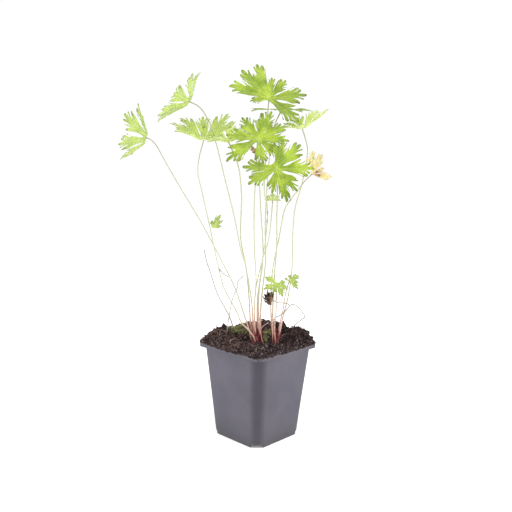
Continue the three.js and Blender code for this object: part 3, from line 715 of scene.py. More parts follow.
for name, (cushions, rise, shoots, (sprig_x, sprig_y, sprigs)) in MOSSES.items():
    bm = bmesh.new()
    tip_layer = bm.verts.layers.float.new("shoot_tip")
    for x, y, reach in cushions:
        for vert in bmesh.ops.create_icosphere(bm, subdivisions=4, radius=1)["verts"]:
            ball = vert.co.copy()
            soft = 1 + 0.2 * noise.noise(ball * 2.3 + Vector((x, y, 0))) + 0.08 * noise.noise(ball * 9)
            px, py = x + ball.x * reach * soft, y + ball.y * reach * soft
            vert.co = (px, py, moss_level(px, py) + ball.z * rise * soft - 0.2)
    for number in range(shoots):
        x, y, reach = dice.choice(cushions)
        heading, share = dice.uniform(0, 2 * math.pi), math.sqrt(dice.random())
        px, py = x + math.cos(heading) * share * reach, y + math.sin(heading) * share * reach
        foot = Vector((px, py, moss_level(px, py) + rise * math.sqrt(1 - share ** 2) - 0.3))
        leaning = Vector((dice.gauss(0, 0.35), dice.gauss(0, 0.35), 1))
        add_shoot(bm, tip_layer, foot, leaning, dice.uniform(0.8, 2.0), dice.uniform(0.22, 0.38))
    for number in range(sprigs):
        px, py = sprig_x + dice.gauss(0, 2.2), sprig_y + dice.gauss(0, 1.6)
        foot = Vector((px, py, moss_level(px, py) - 0.5))
        leaning = Vector((dice.gauss(0, 0.3), dice.gauss(0, 0.3), 1))
        add_shoot(bm, tip_layer, foot, leaning, dice.uniform(3, 6.5), dice.uniform(0.3, 0.5))
    piece_from(bm, name + "_cushion", [moss_green], [name])


# ---------------------------------------------------------------- petioles
# The leaf stalks: thin, round and a little hairy, red where they leave the crown and pale green above.
# Each stands on one of the two crowns, and swells to a small collar where it joins its blade.

CROWNS = {  # middle, and reach along each axis
    "crown_left": ((-1, -7, 94.5), (9, 7.5, 6.5)),
    "crown_right": ((19, -7, 94), (6, 5.5, 6)),
}
# The crown, the foot on it, and the points passed on the way to the blade.
PETIOLES = {
    "far_left": ("crown_left", (-5.5, -6), [
        (-10, -5, 114), (-16, -4, 131), (-25, -3, 156), (-42, -2, 189), (-62, -1, 225),
        (-81, -1, 256), (-98, 0, 284), (-109, 0, 303), (-115, 0, 308)]),
    "left": ("crown_left", (-2.6, -11.2), [
        (-3.7, -12.4, 104.6), (-6, -12.6, 108.6), (-10.5, -12, 114), (-17.5, -10, 120.5), (-23, -6.5, 132),
        (-36, -4, 155), (-43, -4, 180), (-51, -5, 216), (-59, -8, 252), (-64, -10, 275), (-62, -11, 292)]),
    "upper_left": ("crown_left", (-2.6, -8), [
        (-5, -8, 116), (-7, -9, 141), (-14, -11, 180), (-19, -12, 196), (-26, -12, 229),
        (-37, -13, 271), (-46, -13, 305), (-54, -13, 327), (-63, -14, 339)]),
    "left_back": ("crown_left", (-4.5, -3), [
        (-8, -1, 118), (-10, 5, 143), (-14, 9, 177), (-20, 12, 206), (-20, 16, 253), (-24, 20, 283)]),
    "middle": ("crown_left", (0.2, -11), [
        (-3, -12, 114), (-4, -15, 144), (-3, -19, 166), (-5, -24, 196), (-6, -28, 221),
        (-6, -31, 248), (-5, -33, 272)]),
    "top": ("crown_left", (2.4, -9), [
        (1, -8, 115), (0, -6, 143), (3, -4, 183), (7, -3, 217), (7, -3, 243), (4, -3, 255),
        (5, -3, 298), (6, -3, 338)]),
    "top_back": ("crown_left", (3.2, -5.4), [
        (2.2, 1, 119), (3.4, 10, 144), (7, 20, 184), (6, 28, 221), (9, 38, 290), (14, 43, 328)]),
    "back": ("crown_left", (0.2, -4.4), [
        (-1, 2, 120), (-1, 10, 145), (4, 21, 183), (0, 33, 248), (-3, 42, 300)]),
    "small_back": ("crown_left", (-1.8, -3), [
        (-4, 5, 122), (-3, 14, 152), (3, 26, 180), (10, 36, 204), (13, 43, 232)]),
    "front": ("crown_right", (16.6, -9.5), [
        (15, -11, 115), (15, -11, 143), (16, -14, 175), (17, -26, 206), (16, -37, 231), (16, -44, 253)]),
    "yellow": ("crown_right", (16.8, -4.5), [
        (14, 0, 119), (13, 3, 154), (15, 4, 180), (20, 5, 206), (23, 5, 225), (26, 6, 239),
        (32, 6, 249), (39, 7, 258), (46, 7, 268)]),
    "right": ("crown_right", (21.4, -8), [
        (24, -5, 117), (27, -1, 129), (32, 5, 150), (35, 9, 176), (35, 11, 207), (37, 13, 239),
        (43, 16, 262), (48, 19, 286), (49, 21, 304)]),
    "low_right": ("crown_right", (20.8, -4.6), [(23, -1, 119), (26, -1, 133), (28, -1, 149)]),
    "low_front": ("crown_right", (19, -10.4), [(17, -13, 115), (18, -17, 133), (18, -20, 147)]),
}
# Radius at the foot and at the blade: of most petioles, and of those that are stouter or slighter.
USUAL = (0.95, 0.6)
STOUT = (1.1, 0.72)
SLIGHT = (0.95, 0.5)
RADII = {"left_back": STOUT, "top_back": STOUT, "front": STOUT, "far_left": SLIGHT, "left": SLIGHT}
SWELL = 5
COLLAR = 0.35
FOOT_DEPTH = 1.0  # how far the foot reaches into the crown
ROUTE_STEP = 2.2
STALK_ROUNDNESS = 3
# Knots along a petiole, as a share of its length and how far they stand out.
KNOTS = {"yellow": [(0.8, 0.35)], "top": [(0.5, 0.3), (0.535, 0.22)], "back": [(0.29, 0.6)]}
# How red the foot of a petiole is, where it isn't deep red: those at the front are painted light, as lit.
# The deep red of the others is partly their own colour and partly painted shade.
REDNESS_AND_SHADE = {
    "left": 0.0, "middle": 0.35, "top": 0.3, "top_back": 0.5, "upper_left": 0.7, "front": 0.35, "right": 0.15,
    "low_right": 0.3, "low_front": 0.4,
}
RED_TOP = 0.152  # level, in metres, where a petiole turns from red to green
EARLY_GREEN = 0.016  # how much lower the slight ones do

Blade = namedtuple("Blade", "middle faces ahead cup droop seed lobes")
# Where each blade sits and how it faces, the direction that its lobes are counted from, its cup and droop
# in degrees, its seed, and its lobes: direction, length and lift.
BLADES = {
    "far_left": Blade((-119, 0, 309), (-0.95, 0.03, 0.28), (0, -1, 0), 38, 6, 11, [
        (-128, 30), (-80, 34, 8), (-28, 38), (24, 41), (78, 35), (128, 31)]),
    "upper_left": Blade((-73, -16, 344), (-0.81, 0.03, 0.57), (0, -1, 0), 30, 15, 13, [
        (-148, 28, 26), (-98, 38, 24), (-54, 39, 8), (-8, 37), (50, 30), (98, 31), (145, 26)]),
    "left": Blade((-58, -12, 308), (0.06, -0.36, 0.93), (-1, 0, 0), 32, 10, 17, [
        (-160, 38, 26), (-128, 42, 34), (-82, 37, 16), (-40, 38, 10), (-5, 37), (42, 37), (96, 28),
        (142, 26)]),
    "left_back": Blade((-35, 22, 310), (-0.1, -0.48, 0.87), (-1, 0, 0), 30, 8, 19, [
        (-145, 24), (-95, 28), (-46, 30), (0, 30), (46, 30), (95, 26), (145, 24)]),
    "middle": Blade((-4, -35, 306), (0.05, -0.92, 0.38), (0, 0, 1), 4, 8, 3, [
        (-168, 28), (-128, 31), (-91, 30), (-60, 32), (-25, 34), (33, 28), (83, 30), (127, 37)]),
    "top": Blade((7, -5, 350), (0.05, -0.93, 0.36), (0, 0, 1), 3, 5, 7, [
        (-130, 38), (-82, 38), (-40, 27), (-7, 24), (18, 41), (41, 42), (70, 42), (99, 19)]),
    "front": Blade((14, -48, 277), (0.1, -0.93, 0.35), (0, 0, 1), 4, 10, 5, [
        (-190, 24), (-162, 33), (-138, 29), (-86, 37), (-43, 37), (-15, 32), (86, 31), (120, 30)]),
    "right": Blade((43, 22, 325), (-0.22, -0.28, 0.93), (1, 0, 0), 26, 8, 23, [
        (-145, 22), (-98, 24), (-48, 28, 22), (0, 34, 20), (48, 32, 26), (98, 28), (145, 24)]),
    "top_back": Blade((21, 46, 347), (0, -0.155, 0.988), (1, 0, 0), 0, 0, 29, [
        (-150, 37), (-100, 30), (-50, 33), (0, 34), (50, 33), (100, 31), (150, 36)]),
    "back": Blade((-3, 46, 320), (0, -0.8, 0.6), (0, 0, 1), 10, 10, 31, [
        (-140, 16), (-95, 19), (-46, 21), (0, 23), (46, 21), (95, 19), (140, 16)]),
    "yellow": Blade((54, 8, 276), (0.1, -0.9, 0.3), (0, 0, 1), 10, -20, 37, [
        (-108, 21), (-66, 14), (-27, 23), (3, 24)]),
    "small_back": Blade((14, 48, 248), (0, -0.6, 0.8), (0, 0.8, 0.6), 10, 0, 41, [
        (-100, 9), (-50, 10), (0, 11), (50, 10), (100, 9)]),
    "low_front": Blade((18, -22, 163), (0.1, -0.75, 0.6), (0, 0.6, 0.8), 5, 20, 43, [
        (-152, 14), (-108, 12), (-65, 10), (51, 15), (113, 14), (159, 11)]),
    "low_right": Blade((32, -2, 164), (0.2, -0.75, 0.6), (0.2, 0.6, 0.8), 5, 20, 47, [
        (-118, 12), (-78, 10), (-38, 15), (5, 8), (75, 6)]),
    "low_left": Blade((-49, -7, 219), (-0.1, -0.7, 0.6), (0.6, 0, 0.8), 20, 10, 53, [
        (-48, 10), (-12, 13), (15, 16), (50, 8)]),
    "withered": Blade((13.5, -16, 146), (0, -0.7, 0.6), (-1, 0, 0), 12, -35, 59, [
        (-90, 9), (-58, 11), (-28, 11), (2, 12), (33, 12), (66, 13)]),
    "shrivelled": Blade((-4.8, 42.6, 303), (0.1, -0.9, 0.4), (-0.8, 0, -0.6), 8, -30, 61, [
        (-48, 8), (-14, 9), (18, 10), (50, 9)]),
}


def crown_top(name, x, y):
    """Level of a crown's face over a point of the plant's frame."""
    middle, radii = CROWNS[name]
    inside = 1 - ((x - middle[0]) / radii[0]) ** 2 - ((y - middle[1]) / radii[1]) ** 2
    return middle[2] + radii[2] * math.sqrt(max(0, inside))


def eased_point(before, start, end, after, t):
    """A point between start and end, on a curve that passes four points without loops or overshoots."""
    first = max((start - before).length ** 0.5, 1e-4)
    middle = max((end - start).length ** 0.5, 1e-4)
    last = max((after - end).length ** 0.5, 1e-4)
    leaving = ((start - before) / first - (end - before) / (first + middle) + (end - start) / middle) * middle
    coming = ((end - start) / middle - (after - start) / (middle + last) + (after - end) / last) * middle
    bend = 2 * (start - end) + leaving + coming
    swing = 3 * (end - start) - 2 * leaving - coming
    return start + leaving * t + swing * t * t + bend * t ** 3


def smooth_route(points, step):
    """Points at even steps along a smooth curve through the points given."""
    through = [Vector(point) for point in points]
    through = [2 * through[0] - through[1]] + through + [2 * through[-1] - through[-2]]
    dense = []
    for i in range(1, len(through) - 2):
        count = max(4, round((through[i + 1] - through[i]).length / 0.5))
        dense += [eased_point(*through[i - 1:i + 3], k / count) for k in range(count)]
    dense.append(through[-2])
    lengths = [0.0]
    for a, b in zip(dense, dense[1:]):
        lengths.append(lengths[-1] + (b - a).length)
    count = max(6, round(lengths[-1] / step))
    route, at = [], 0
    for k in range(count + 1):
        target = lengths[-1] * k / count
        while at < len(dense) - 2 and lengths[at + 1] < target:
            at += 1
        share = (target - lengths[at]) / max(lengths[at + 1] - lengths[at], 1e-6)
        route.append(dense[at].lerp(dense[at + 1], min(share, 1)))
    return route


def add_stalk(bm, route, radii):
    """A round stalk along a route, with a radius for each of its points."""
    line = bpy.data.curves.new("stalk_line", "CURVE")
    line.dimensions = "3D"
    spline = line.splines.new("POLY")
    spline.points.add(len(route) - 1)
    for point, place, radius in zip(spline.points, route, radii):
        point.co = (*place, 1)
        point.radius = radius
    line.bevel_depth = 1
    line.bevel_resolution = STALK_ROUNDNESS
    line.use_fill_caps = True
    shaper = bpy.data.objects.new("stalk_line", line)
    tube = bpy.data.meshes.new_from_object(shaper)
    bm.from_mesh(tube)
    bpy.data.objects.remove(shaper)
    bpy.data.curves.remove(line)
    bpy.data.meshes.remove(tube)


def stalk_radii(route, base, tip, collar, knots=()):
    """Radii that thin out from the foot, with small knots, and a collar at the blade."""
    last = len(route) - 1
    radii = []
    for k, place in enumerate(route):
        t = k / last
        radius = tip + (base - tip) * (1 - t) ** SWELL
        radius *= 1 + 0.05 * noise.noise(place / 6)
        radius += collar * math.exp(-((last - k) * ROUTE_STEP / 2.0) ** 2)
        for share, size in knots:
            radius += size * math.exp(-(((t - share) * last * ROUTE_STEP) / 1.3) ** 2)
        radii.append(radius)
    return radii


living_stalk, tree = new_material("living_stalk")
place = place_on(tree)
lines = noise_field(tree, drawn_out(tree, place, 0.12), 1800, 3, 0.6)
# pale streaks: partly the stalks' own lines, partly painted highlights
streaks_and_highlights = ranged(tree, lines, 0.38, 0.62)
wander = times(tree, noise_field(tree, place, 24, 2), 0.04)
level = maths(tree, "ADD", axis_of(tree, place, "Z"), wander)
level = maths(tree, "ADD", level, named_value(tree, "early_green"))
blush_and_blade_shade = patches(tree, place, 60, 0.5, 0.75, 0.3, 2)
# near the blade the stalk turns darker and browner: partly its own flush, partly painted shade under the
# blade
blush_and_blade_shade = maths(tree, "MAXIMUM", blush_and_blade_shade, times(tree, named_value(tree, "near_blade"), 0.6))
# deep red: the stalks' own red at the foot, and painted shade on the stalks at the back
red = layered(tree, (92, 22, 30), (streaks_and_highlights, (160, 70, 66)))
pink = layered(tree, (172, 136, 120), (streaks_and_highlights, (208, 180, 160)))
green = layered(tree, (152, 156, 122), (lines, (178, 180, 152)), (blush_and_blade_shade, (138, 116, 102)))
shown = layered(
    tree, (176, 122, 112),
    (streaks_and_highlights, (226, 182, 168)),
    (named_value(tree, "redness_and_shade"), red),
    (ranged(tree, level, RED_TOP - 0.03, RED_TOP - 0.004), pink),
    (ranged(tree, level, RED_TOP - 0.012, RED_TOP + 0.03), green),
    (named_value(tree, "knot"), (96, 78, 62)),
)
add_surface(tree, shown, 0.5, {
    "Subsurface Weight": 0.25, "Subsurface Radius": (0.8, 1.0, 0.4), "Subsurface Scale": 0.0006,
    "Normal": raised_by(tree, lines, 0.00008, 0.5),
})

for name, (crown, foot, points) in PETIOLES.items():
    base, tip = RADII.get(name, USUAL)
    middle, faces = Vector(BLADES[name].middle), Vector(BLADES[name].faces).normalized()
    start = (*foot, crown_top(crown, *foot) - FOOT_DEPTH)
    under_blade = [middle - faces * (0.6 + tip), middle - faces * 0.1]
    route = smooth_route([start, *points, *under_blade], ROUTE_STEP)
    knots = KNOTS.get(name, ())
    knobs = [route[round(share * (len(route) - 1))] for share, size in knots]
    earliness = EARLY_GREEN if RADII.get(name) == SLIGHT else 0.0
    bm = bmesh.new()
    add_stalk(bm, route, stalk_radii(route, base, tip, COLLAR, knots))
    note(bm, "knot", lambda v: max([math.exp(-((v.co - knob).length / 1.4) ** 2) for knob in knobs] + [0.0]))
    note(bm, "near_blade", lambda v: max(0, 1 - (v.co - route[-1]).length / 38))
    note(bm, "redness_and_shade", lambda v: REDNESS_AND_SHADE.get(name, 1.0))
    note(bm, "early_green", lambda v: earliness)
    piece_from(bm, "leaf_stalk_" + name, [living_stalk], ["petiole_" + name])


# ---------------------------------------------------------------- crowns
# The two knobs of woody rootstock at the level of the compost. Old papery scales stand around the feet
# of the petioles that spring from them.

SCALES = 9  # around the foot of each petiole
SCALE_THICKNESS = 0.25

crown_bark, tree = new_material("crown_bark")
place = place_on(tree)
fibres = noise_field(tree, drawn_out(tree, place, 0.25), 900, 4, 0.7)
bark = layered(
    tree, (86, 24, 28),
    (ranged(tree, fibres, 0.35, 0.68), (148, 62, 58)),
    (patches(tree, place, 300, 0.5, 0.7), (54, 22, 22)),
)
add_surface(tree, bark, 0.7, {"Normal": raised_by(tree, fibres, 0.0005, 0.8)})


def add_scale(bm, foot, lean, length, width):
    """One pointed papery scale, hollow towards the stalk that it stands against."""
    grid = bmesh.ops.create_grid(bm, x_segments=4, y_segments=6, size=0.5)["verts"]
    faces = list(dict.fromkeys(face for vert in grid for face in vert.link_faces))
    heading = math.atan2(lean.y, lean.x)
    for vert in grid:
        across, up = vert.co.x, vert.co.y + 0.5
        half_width = width * math.sin(math.pi * (0.18 + 0.82 * up) ** 0.8) * 1.1
        aside = across * half_width
        hollow = -0.45 * (2 * across) ** 2 * half_width
        out_way = hollow + lean.length * length * up ** 1.6
        vert.co = (
            foot.x + out_way * math.cos(heading) - aside * math.sin(heading),
            foot.y + out_way * math.sin(heading) + aside * math.cos(heading),
            foot.z + length * up,
        )
    bmesh.ops.solidify(bm, geom=faces, thickness=SCALE_THICKNESS)


for name, (middle, radii) in CROWNS.items():
    bm = bmesh.new()
    bmesh.ops.create_icosphere(bm, subdivisions=5, radius=1)
    for vert in bm.verts:
        ball = vert.co.copy()
        knobbly = 1 + 0.12 * noise.noise(ball * 3.1 + Vector(middle)) + 0.06 * noise.noise(ball * 8)
        vert.co = Vector([middle[i] + ball[i] * radii[i] * knobbly for i in range(3)])
    for foot in [foot for crown, foot, points in PETIOLES.values() if crown == name]:
        for number in range(SCALES):
            off = Vector(around(dice.uniform(0, 2 * math.pi)))
            x, y = Vector(foot) + off * 1.3
            bed = Vector((x, y, crown_top(name, x, y) - 0.8))
            lean = off.to_3d() * dice.uniform(0.03, 0.24)
            add_scale(bm, bed, lean, dice.uniform(5, 17), dice.uniform(1.0, 1.8))
    piece_from(bm, name + "_rootstock", [crown_bark], [name])


# ---------------------------------------------------------------- dead stalks and a pale stub
# What is left of last season's stalks: bare, thin and bent, grey-brown where they have dried. One still
# carries a withered leaf. A short pale stub springs from the side of the left crown.

# Each stalk: its radius at the foot and at the tip, and the points that it passes.
DEAD_STALKS = {
    "dead_stalk_withered": ((0.72, 0.5), [
        (16, -6.8, 98), (15, -5, 113), (17, -4, 124), (23, -7, 128.5), (29.5, -11, 135.5), (32, -12.5, 140),
        (27, -14, 142.5), (20, -15, 143), (16, -15.6, 145), (13.2, -15.8, 146.6)]),
    "dead_stalk_right": ((0.65, 0.48), [
        (35, 17, 107), (41, 15, 114.5), (46, 13, 119.5), (50, 10, 124), (46, 8, 130.5), (40, 5, 137),
        (34, 3, 138.5)]),
    "dead_stalk_left": ((0.8, 0.45), [
        (-26, 22, 105), (-31, 20, 120), (-36, 18, 130), (-44, 13, 146), (-52, 9, 171), (-56, 7, 183),
        (-58, 6, 194)]),
    "dead_stalk_bent": ((0.6, 0.45), [
        (-33, 0, 104), (-32, 0, 116), (-30, 0, 130), (-27, 1, 145), (-24, 1, 152), (-22, 2, 157),
        (-23, 2, 160), (-20, 3, 164), (-17, 3, 167.5)]),
    "side_shoot": ((1.0, 0.35), [
        (-41.7, -4, 175), (-40.2, -4.3, 174), (-38.3, -4.8, 171.5), (-35, -5.2, 169.3),
        (-31.3, -5.6, 167.6)]),
}
STUB = ((0.55, 0.38), [
    (5.2, -10, 98), (3.6, -11, 106.5), (2.7, -11.3, 112), (3.6, -11, 115.6), (6.8, -9.6, 118.3),
    (10.6, -8, 120.6)])

dry_stalk, tree = new_material("dry_stalk")
place = place_on(tree)
lines = noise_field(tree, place, 520, 5, 0.7)
dry = layered(
    tree, (118, 110, 98),
    (ranged(tree, lines, 0.35, 0.68), (164, 156, 140)),
    (patches(tree, place, 45, 0.45, 0.7, 0.6, 2), (106, 108, 88)),
)
add_surface(tree, dry, 0.75, {"Normal": raised_by(tree, lines, 0.0001, 0.7)})


def bare_stalk(radii, points, step, collar):
    """A stalk with no blade, as a mesh in millimetres."""
    route = smooth_route(points, step)
    bm = bmesh.new()
    add_stalk(bm, route, stalk_radii(route, *radii, collar))
    return bm


for name, (radii, points) in DEAD_STALKS.items():
    piece_from(bare_stalk(radii, points, 1.4, 0.15), name + "_bare", [dry_stalk], [name])

bm = bare_stalk(*STUB, 1.0, 0.1)
note(bm, "redness_and_shade", lambda v: 0.0)
piece_from(bm, "pale_side_stub", [living_stalk], ["pale_stub"])


# ---------------------------------------------------------------- blades
# The leaf blades: thin, hairy, deeply cut into lobes, each cut again into blunt teeth. A vein runs from the
# petiole to the tip of each lobe, with side veins to the teeth, and the blade is folded a little along them.

# How far each blade is from the deep green of the shaded clump to the yellow green of a blade in the sun.
PALENESS = {
    "far_left": 0.3, "upper_left": 0.4, "left": 0.65, "left_back": 1.1, "right": 1.0, "top_back": -0.3,
    "back": 0.6, "middle": 0.05, "top": 0.05, "small_back": 1.3, "low_left": 0.7, "low_right": 0.6,
    "low_front": 0.4,
}
# A side of a blade painted in shade, as its direction and how deep the shade is.
SHADED_SIDES = {"top": (-105, 0.45), "front": (100, 0.3), "middle": (-60, 0.15), "right": (150, 0.4)}
# Dark specks on the blades, as direction and distance from the petiole.
SPECKS = {
    "top": [(-66, 27.5)], "middle": [(-134, 16.5)], "front": [(-69, 26.5)],
    "left_back": [(-92, 24), (-105, 26)], "left": [(-85, 20), (-38, 30), (-30, 35)],
    "yellow": [(-5, 16.5), (-107, 7), (-70, 5)], "shrivelled": [(30, 5)],
}
BROWNED_SPOT = Vector((59, 8, 275.5))  # where the yellow blade has turned brown
BROWNED_REACH = 5.5
YOUNG_BLADES = ("small_back", "low_front", "low_right", "low_left", "withered", "shrivelled")
FOLD = 0.2  # how steeply a blade rises from its veins, where it isn't one of these
FOLDS = {"top_back": 0.06, "far_left": 0.12, "upper_left": 0.12, "right": 0.14}
CRUMPLES = {"withered": 3.0, "shrivelled": 2.0}

# One side of a lobe: distance along its midrib and half width, as shares of its length.
LOBE_SIDE = [
    (0.27, 0.085), (0.38, 0.135), (0.48, 0.185), (0.57, 0.235), (0.655, 0.288), (0.688, 0.262), (0.62, 0.195),
    (0.53, 0.13), (0.64, 0.17), (0.76, 0.262), (0.798, 0.228), (0.71, 0.14), (0.60, 0.078), (0.73, 0.1),
    (0.86, 0.17), (0.893, 0.132), (0.82, 0.078), (0.75, 0.04), (0.87, 0.052), (0.965, 0.042),
]
# The same where the next lobe is close, which leaves room for fewer teeth.
NARROW_SIDE = [
    (0.27, 0.1), (0.4, 0.18), (0.55, 0.26), (0.68, 0.36), (0.74, 0.36), (0.765, 0.3), (0.67, 0.2),
    (0.6, 0.14), (0.72, 0.17), (0.86, 0.25), (0.9, 0.23), (0.905, 0.17), (0.8, 0.07), (0.86, 0.085),
    (0.955, 0.08),
]
NARROW_BELOW = 0.72
YOUNG_SIDE = [
    (0.35, 0.13), (0.5, 0.22), (0.66, 0.31), (0.69, 0.28), (0.62, 0.17), (0.7, 0.19), (0.8, 0.27),
    (0.83, 0.22), (0.74, 0.1), (0.86, 0.1), (0.96, 0.08),
]
LOBE_SPACING = 48  # degrees between lobes of full width
LOBE_WIDTHS = (0.5, 0.95)
LOBE_GAP = 1.3  # degrees kept clear on each side between lobes
SINUS = 0.17
BASE_SINUS = 0.06
JOINED_BELOW = 38  # lobes closer than so many degrees are joined further out than the sinus
JOINED_SHARE = 1.2
TOOTH_GROWTH = 1.03  # makes up for what the rounding takes off the teeth
LIFT_SPREAD = 22
LATTICE = 1.25
YOUNG_LATTICE = 0.75
VEIN_SLANT = 1.15
VEIN_SPACING = 0.125  # between side veins, as a share of the lobe's length
BLADE_THICKNESS = 0.3


def vary(seed, k):
    """A steady variation between -1 and 1 for point k of the leaf with this seed."""
    return math.sin(seed * 12.9898 + k * 78.233)


def joined_reach(gap, length, next_length):
    """How far out two neighbouring lobes are joined."""
    return (SINUS + JOINED_SHARE * max(0, 1 - gap / JOINED_BELOW)) * min(length, next_length)


def lobe_side(seed, young, k, side, gap, length, joined):
    """Points along one side of a lobe, from where it is joined, in its half of the gap to the next."""
    width = min(max(gap / LOBE_SPACING, LOBE_WIDTHS[0]), LOBE_WIDTHS[1])
    widest = math.tan(math.radians(min(gap / 2 - LOBE_GAP, 60)))
    points = []
    half = YOUNG_SIDE if young else NARROW_SIDE if width < NARROW_BELOW else LOBE_SIDE
    for i, (along, across) in enumerate(half):
        j = k * 37 + i // 2 * 5 + (3 if side > 0 else 0)
        swing = 0.13 if across > 0.15 else 0.04
        reach = along * (1 + 0.03 * vary(seed, j + 1))
        waist = width if along > 0.5 else max(width, 0.9)
        spread = min(across * waist * (1 + swing * vary(seed, j)), reach * widest)
        if length * reach > joined:
            points.append((length * reach, side * length * spread))
    return points


def blade_outline(lobes, seed, young):
    """The outline of a blade laid flat, the places of its tooth tips, and the reach of its lobes."""
    lobes = sorted(lobes)
    outline, tips = [], []
    opening = 360 - (lobes[-1][0] - lobes[0][0])
    for k, (degrees, length, *lift) in enumerate(lobes):
        last = k == len(lobes) - 1
        before = degrees - lobes[k - 1][0] if k else opening
        after = opening if last else lobes[k + 1][0] - degrees
        joined_before = joined_reach(before, length, lobes[k - 1][1]) if k else 0
        joined_after = 0 if last else joined_reach(after, length, lobes[k + 1][1])
        length *= TOOTH_GROWTH
        half = lobe_side(seed, young, k, -1, before, length, joined_before) + [(length, 0.0)]
        half += reversed(lobe_side(seed, young, k, 1, after, length, joined_after))
        turn = Matrix.Rotation(math.radians(degrees), 2)
        placed = [turn @ Vector(point) for point in half]
        outline += placed
        for a, b, c in zip(placed, placed[1:], placed[2:]):
            if b.length > a.length and b.length > c.length:
                tips.append(b)
        if not last:
            middle = math.radians(degrees + after / 2)
            outline.append(Vector(around(middle, joined_after)))
    size = max(lobe[1] for lobe in lobes)
    middle = math.radians(lobes[0][0] - opening / 2)
    outline.append(Vector(around(middle, BASE_SINUS * size)))
    return outline, tips


def softened(outline):
    """A closed outline with its corners cut off."""
    cut = []
    for a, b in zip(outline, outline[1:] + outline[:1]):
        cut += [a.lerp(b, 0.25), a.lerp(b, 0.75)]
    return cut


def apart(first, second):
    """Degrees between two directions."""
    return abs((first - second + 540) % 360 - 180)


def lift_at(lobes, degrees):
    """How much the blade is lifted in a direction, from the lifts of the lobes around it."""
    total, lifted = 0.0, 0.0
    for angle, length, *lift in lobes:
        weight = math.exp(-((apart(degrees, angle) / LIFT_SPREAD) ** 2)) + 1e-6
        total += weight
        lifted += weight * (lift[0] if lift else 0)
    return lifted / total


def dished(blade, x, y):
    """A flat point of a blade, level over the petiole, then rising and bending back."""
    size = max(lobe[1] for lobe in blade.lobes)
    angle = math.atan2(y, x)
    level = min(math.hypot(x, y), SINUS * size)
    r = math.hypot(x, y) - level
    start = math.radians(blade.cup)
    bend = math.radians(lift_at(blade.lobes, math.degrees(angle)) - blade.droop * 2) / size
    if abs(bend) < 1e-6:
        out_way, up = r * math.cos(start), r * math.sin(start)
    else:
        out_way = (math.sin(start + bend * r) - math.sin(start)) / bend
        up = (math.cos(start) - math.cos(start + bend * r)) / bend
    return Vector((*around(angle, level + out_way), up))


def nearest_lobe(lobes, x, y):
    """The lobe that a flat point lies in."""
    degrees = math.degrees(math.atan2(y, x))
    return min(lobes, key=lambda lobe: apart(degrees, lobe[0]))


def place_in_lobe(lobe, x, y):
    """A flat point's distance along and across a lobe, as shares of its length."""
    angle, length = math.radians(lobe[0]), lobe[1] * TOOTH_GROWTH
    along = (x * math.cos(angle) + y * math.sin(angle)) / length
    return along, (-x * math.sin(angle) + y * math.cos(angle)) / length


def vein_relief(blade, x, y, fold):
    """Height of the blade's folds over its dish: sunk along the veins, risen between them."""
    lobe = nearest_lobe(blade.lobes, x, y)
    along, across = place_in_lobe(lobe, x, y)
    away = abs(across) * lobe[1]
    reach = math.hypot(x, y)
    keel = fold * min(away, 6) * min(1, reach / 10)
    valley = -1.75 * fold * math.exp(-away / 0.7) * min(1, reach / 4)
    beat = (along - VEIN_SLANT * abs(across)) / VEIN_SPACING
    pleats = 0.8 * fold * math.cos(2 * math.pi * beat) * min(1, away / 2.5)
    slow = noise.noise(Vector((x / 13, y / 13, blade.seed))) * 1.5 * min(1, (reach / 22) ** 2)
    tip_curl = -0.09 * max(0, along - 0.72) * lobe[1] * (1 + vary(blade.seed, round(lobe[0])))
    return keel + valley + pleats + slow + tip_curl


def score(bm, across_it, through=(0, 0, 0)):
    """Scores a straight line over the whole of a flat sheet."""
    everything = bm.verts[:] + bm.edges[:] + bm.faces[:]
    bmesh.ops.bisect_plane(bm, geom=everything, dist=1e-5, plane_co=through, plane_no=across_it)


def scored_sheet(outline, lobes):
    """A flat sheet cut to an outline, and scored along its lobes, between them and into small squares."""
    bm = bmesh.new()
    bm.faces.new([bm.verts.new((x, y, 0)) for x, y in outline])
    ordered = sorted(lobe[0] for lobe in lobes)
    for degrees in ordered + [(a + b) / 2 for a, b in zip(ordered, ordered[1:])]:
        angle = math.radians(degrees)
        score(bm, (-math.sin(angle), math.cos(angle), 0))
    reach = max(abs(value) for point in outline for value in point)
    lattice = LATTICE if reach > 20 else YOUNG_LATTICE
    cells = math.ceil(reach / lattice)
    for axis in (Vector((1, 0, 0)), Vector((0, 1, 0))):
        for step in range(-cells, cells + 1):
            score(bm, axis, axis * (step + 0.37) * lattice)
    bmesh.ops.dissolve_degenerate(bm, edges=bm.edges[:], dist=0.02)
    return bm


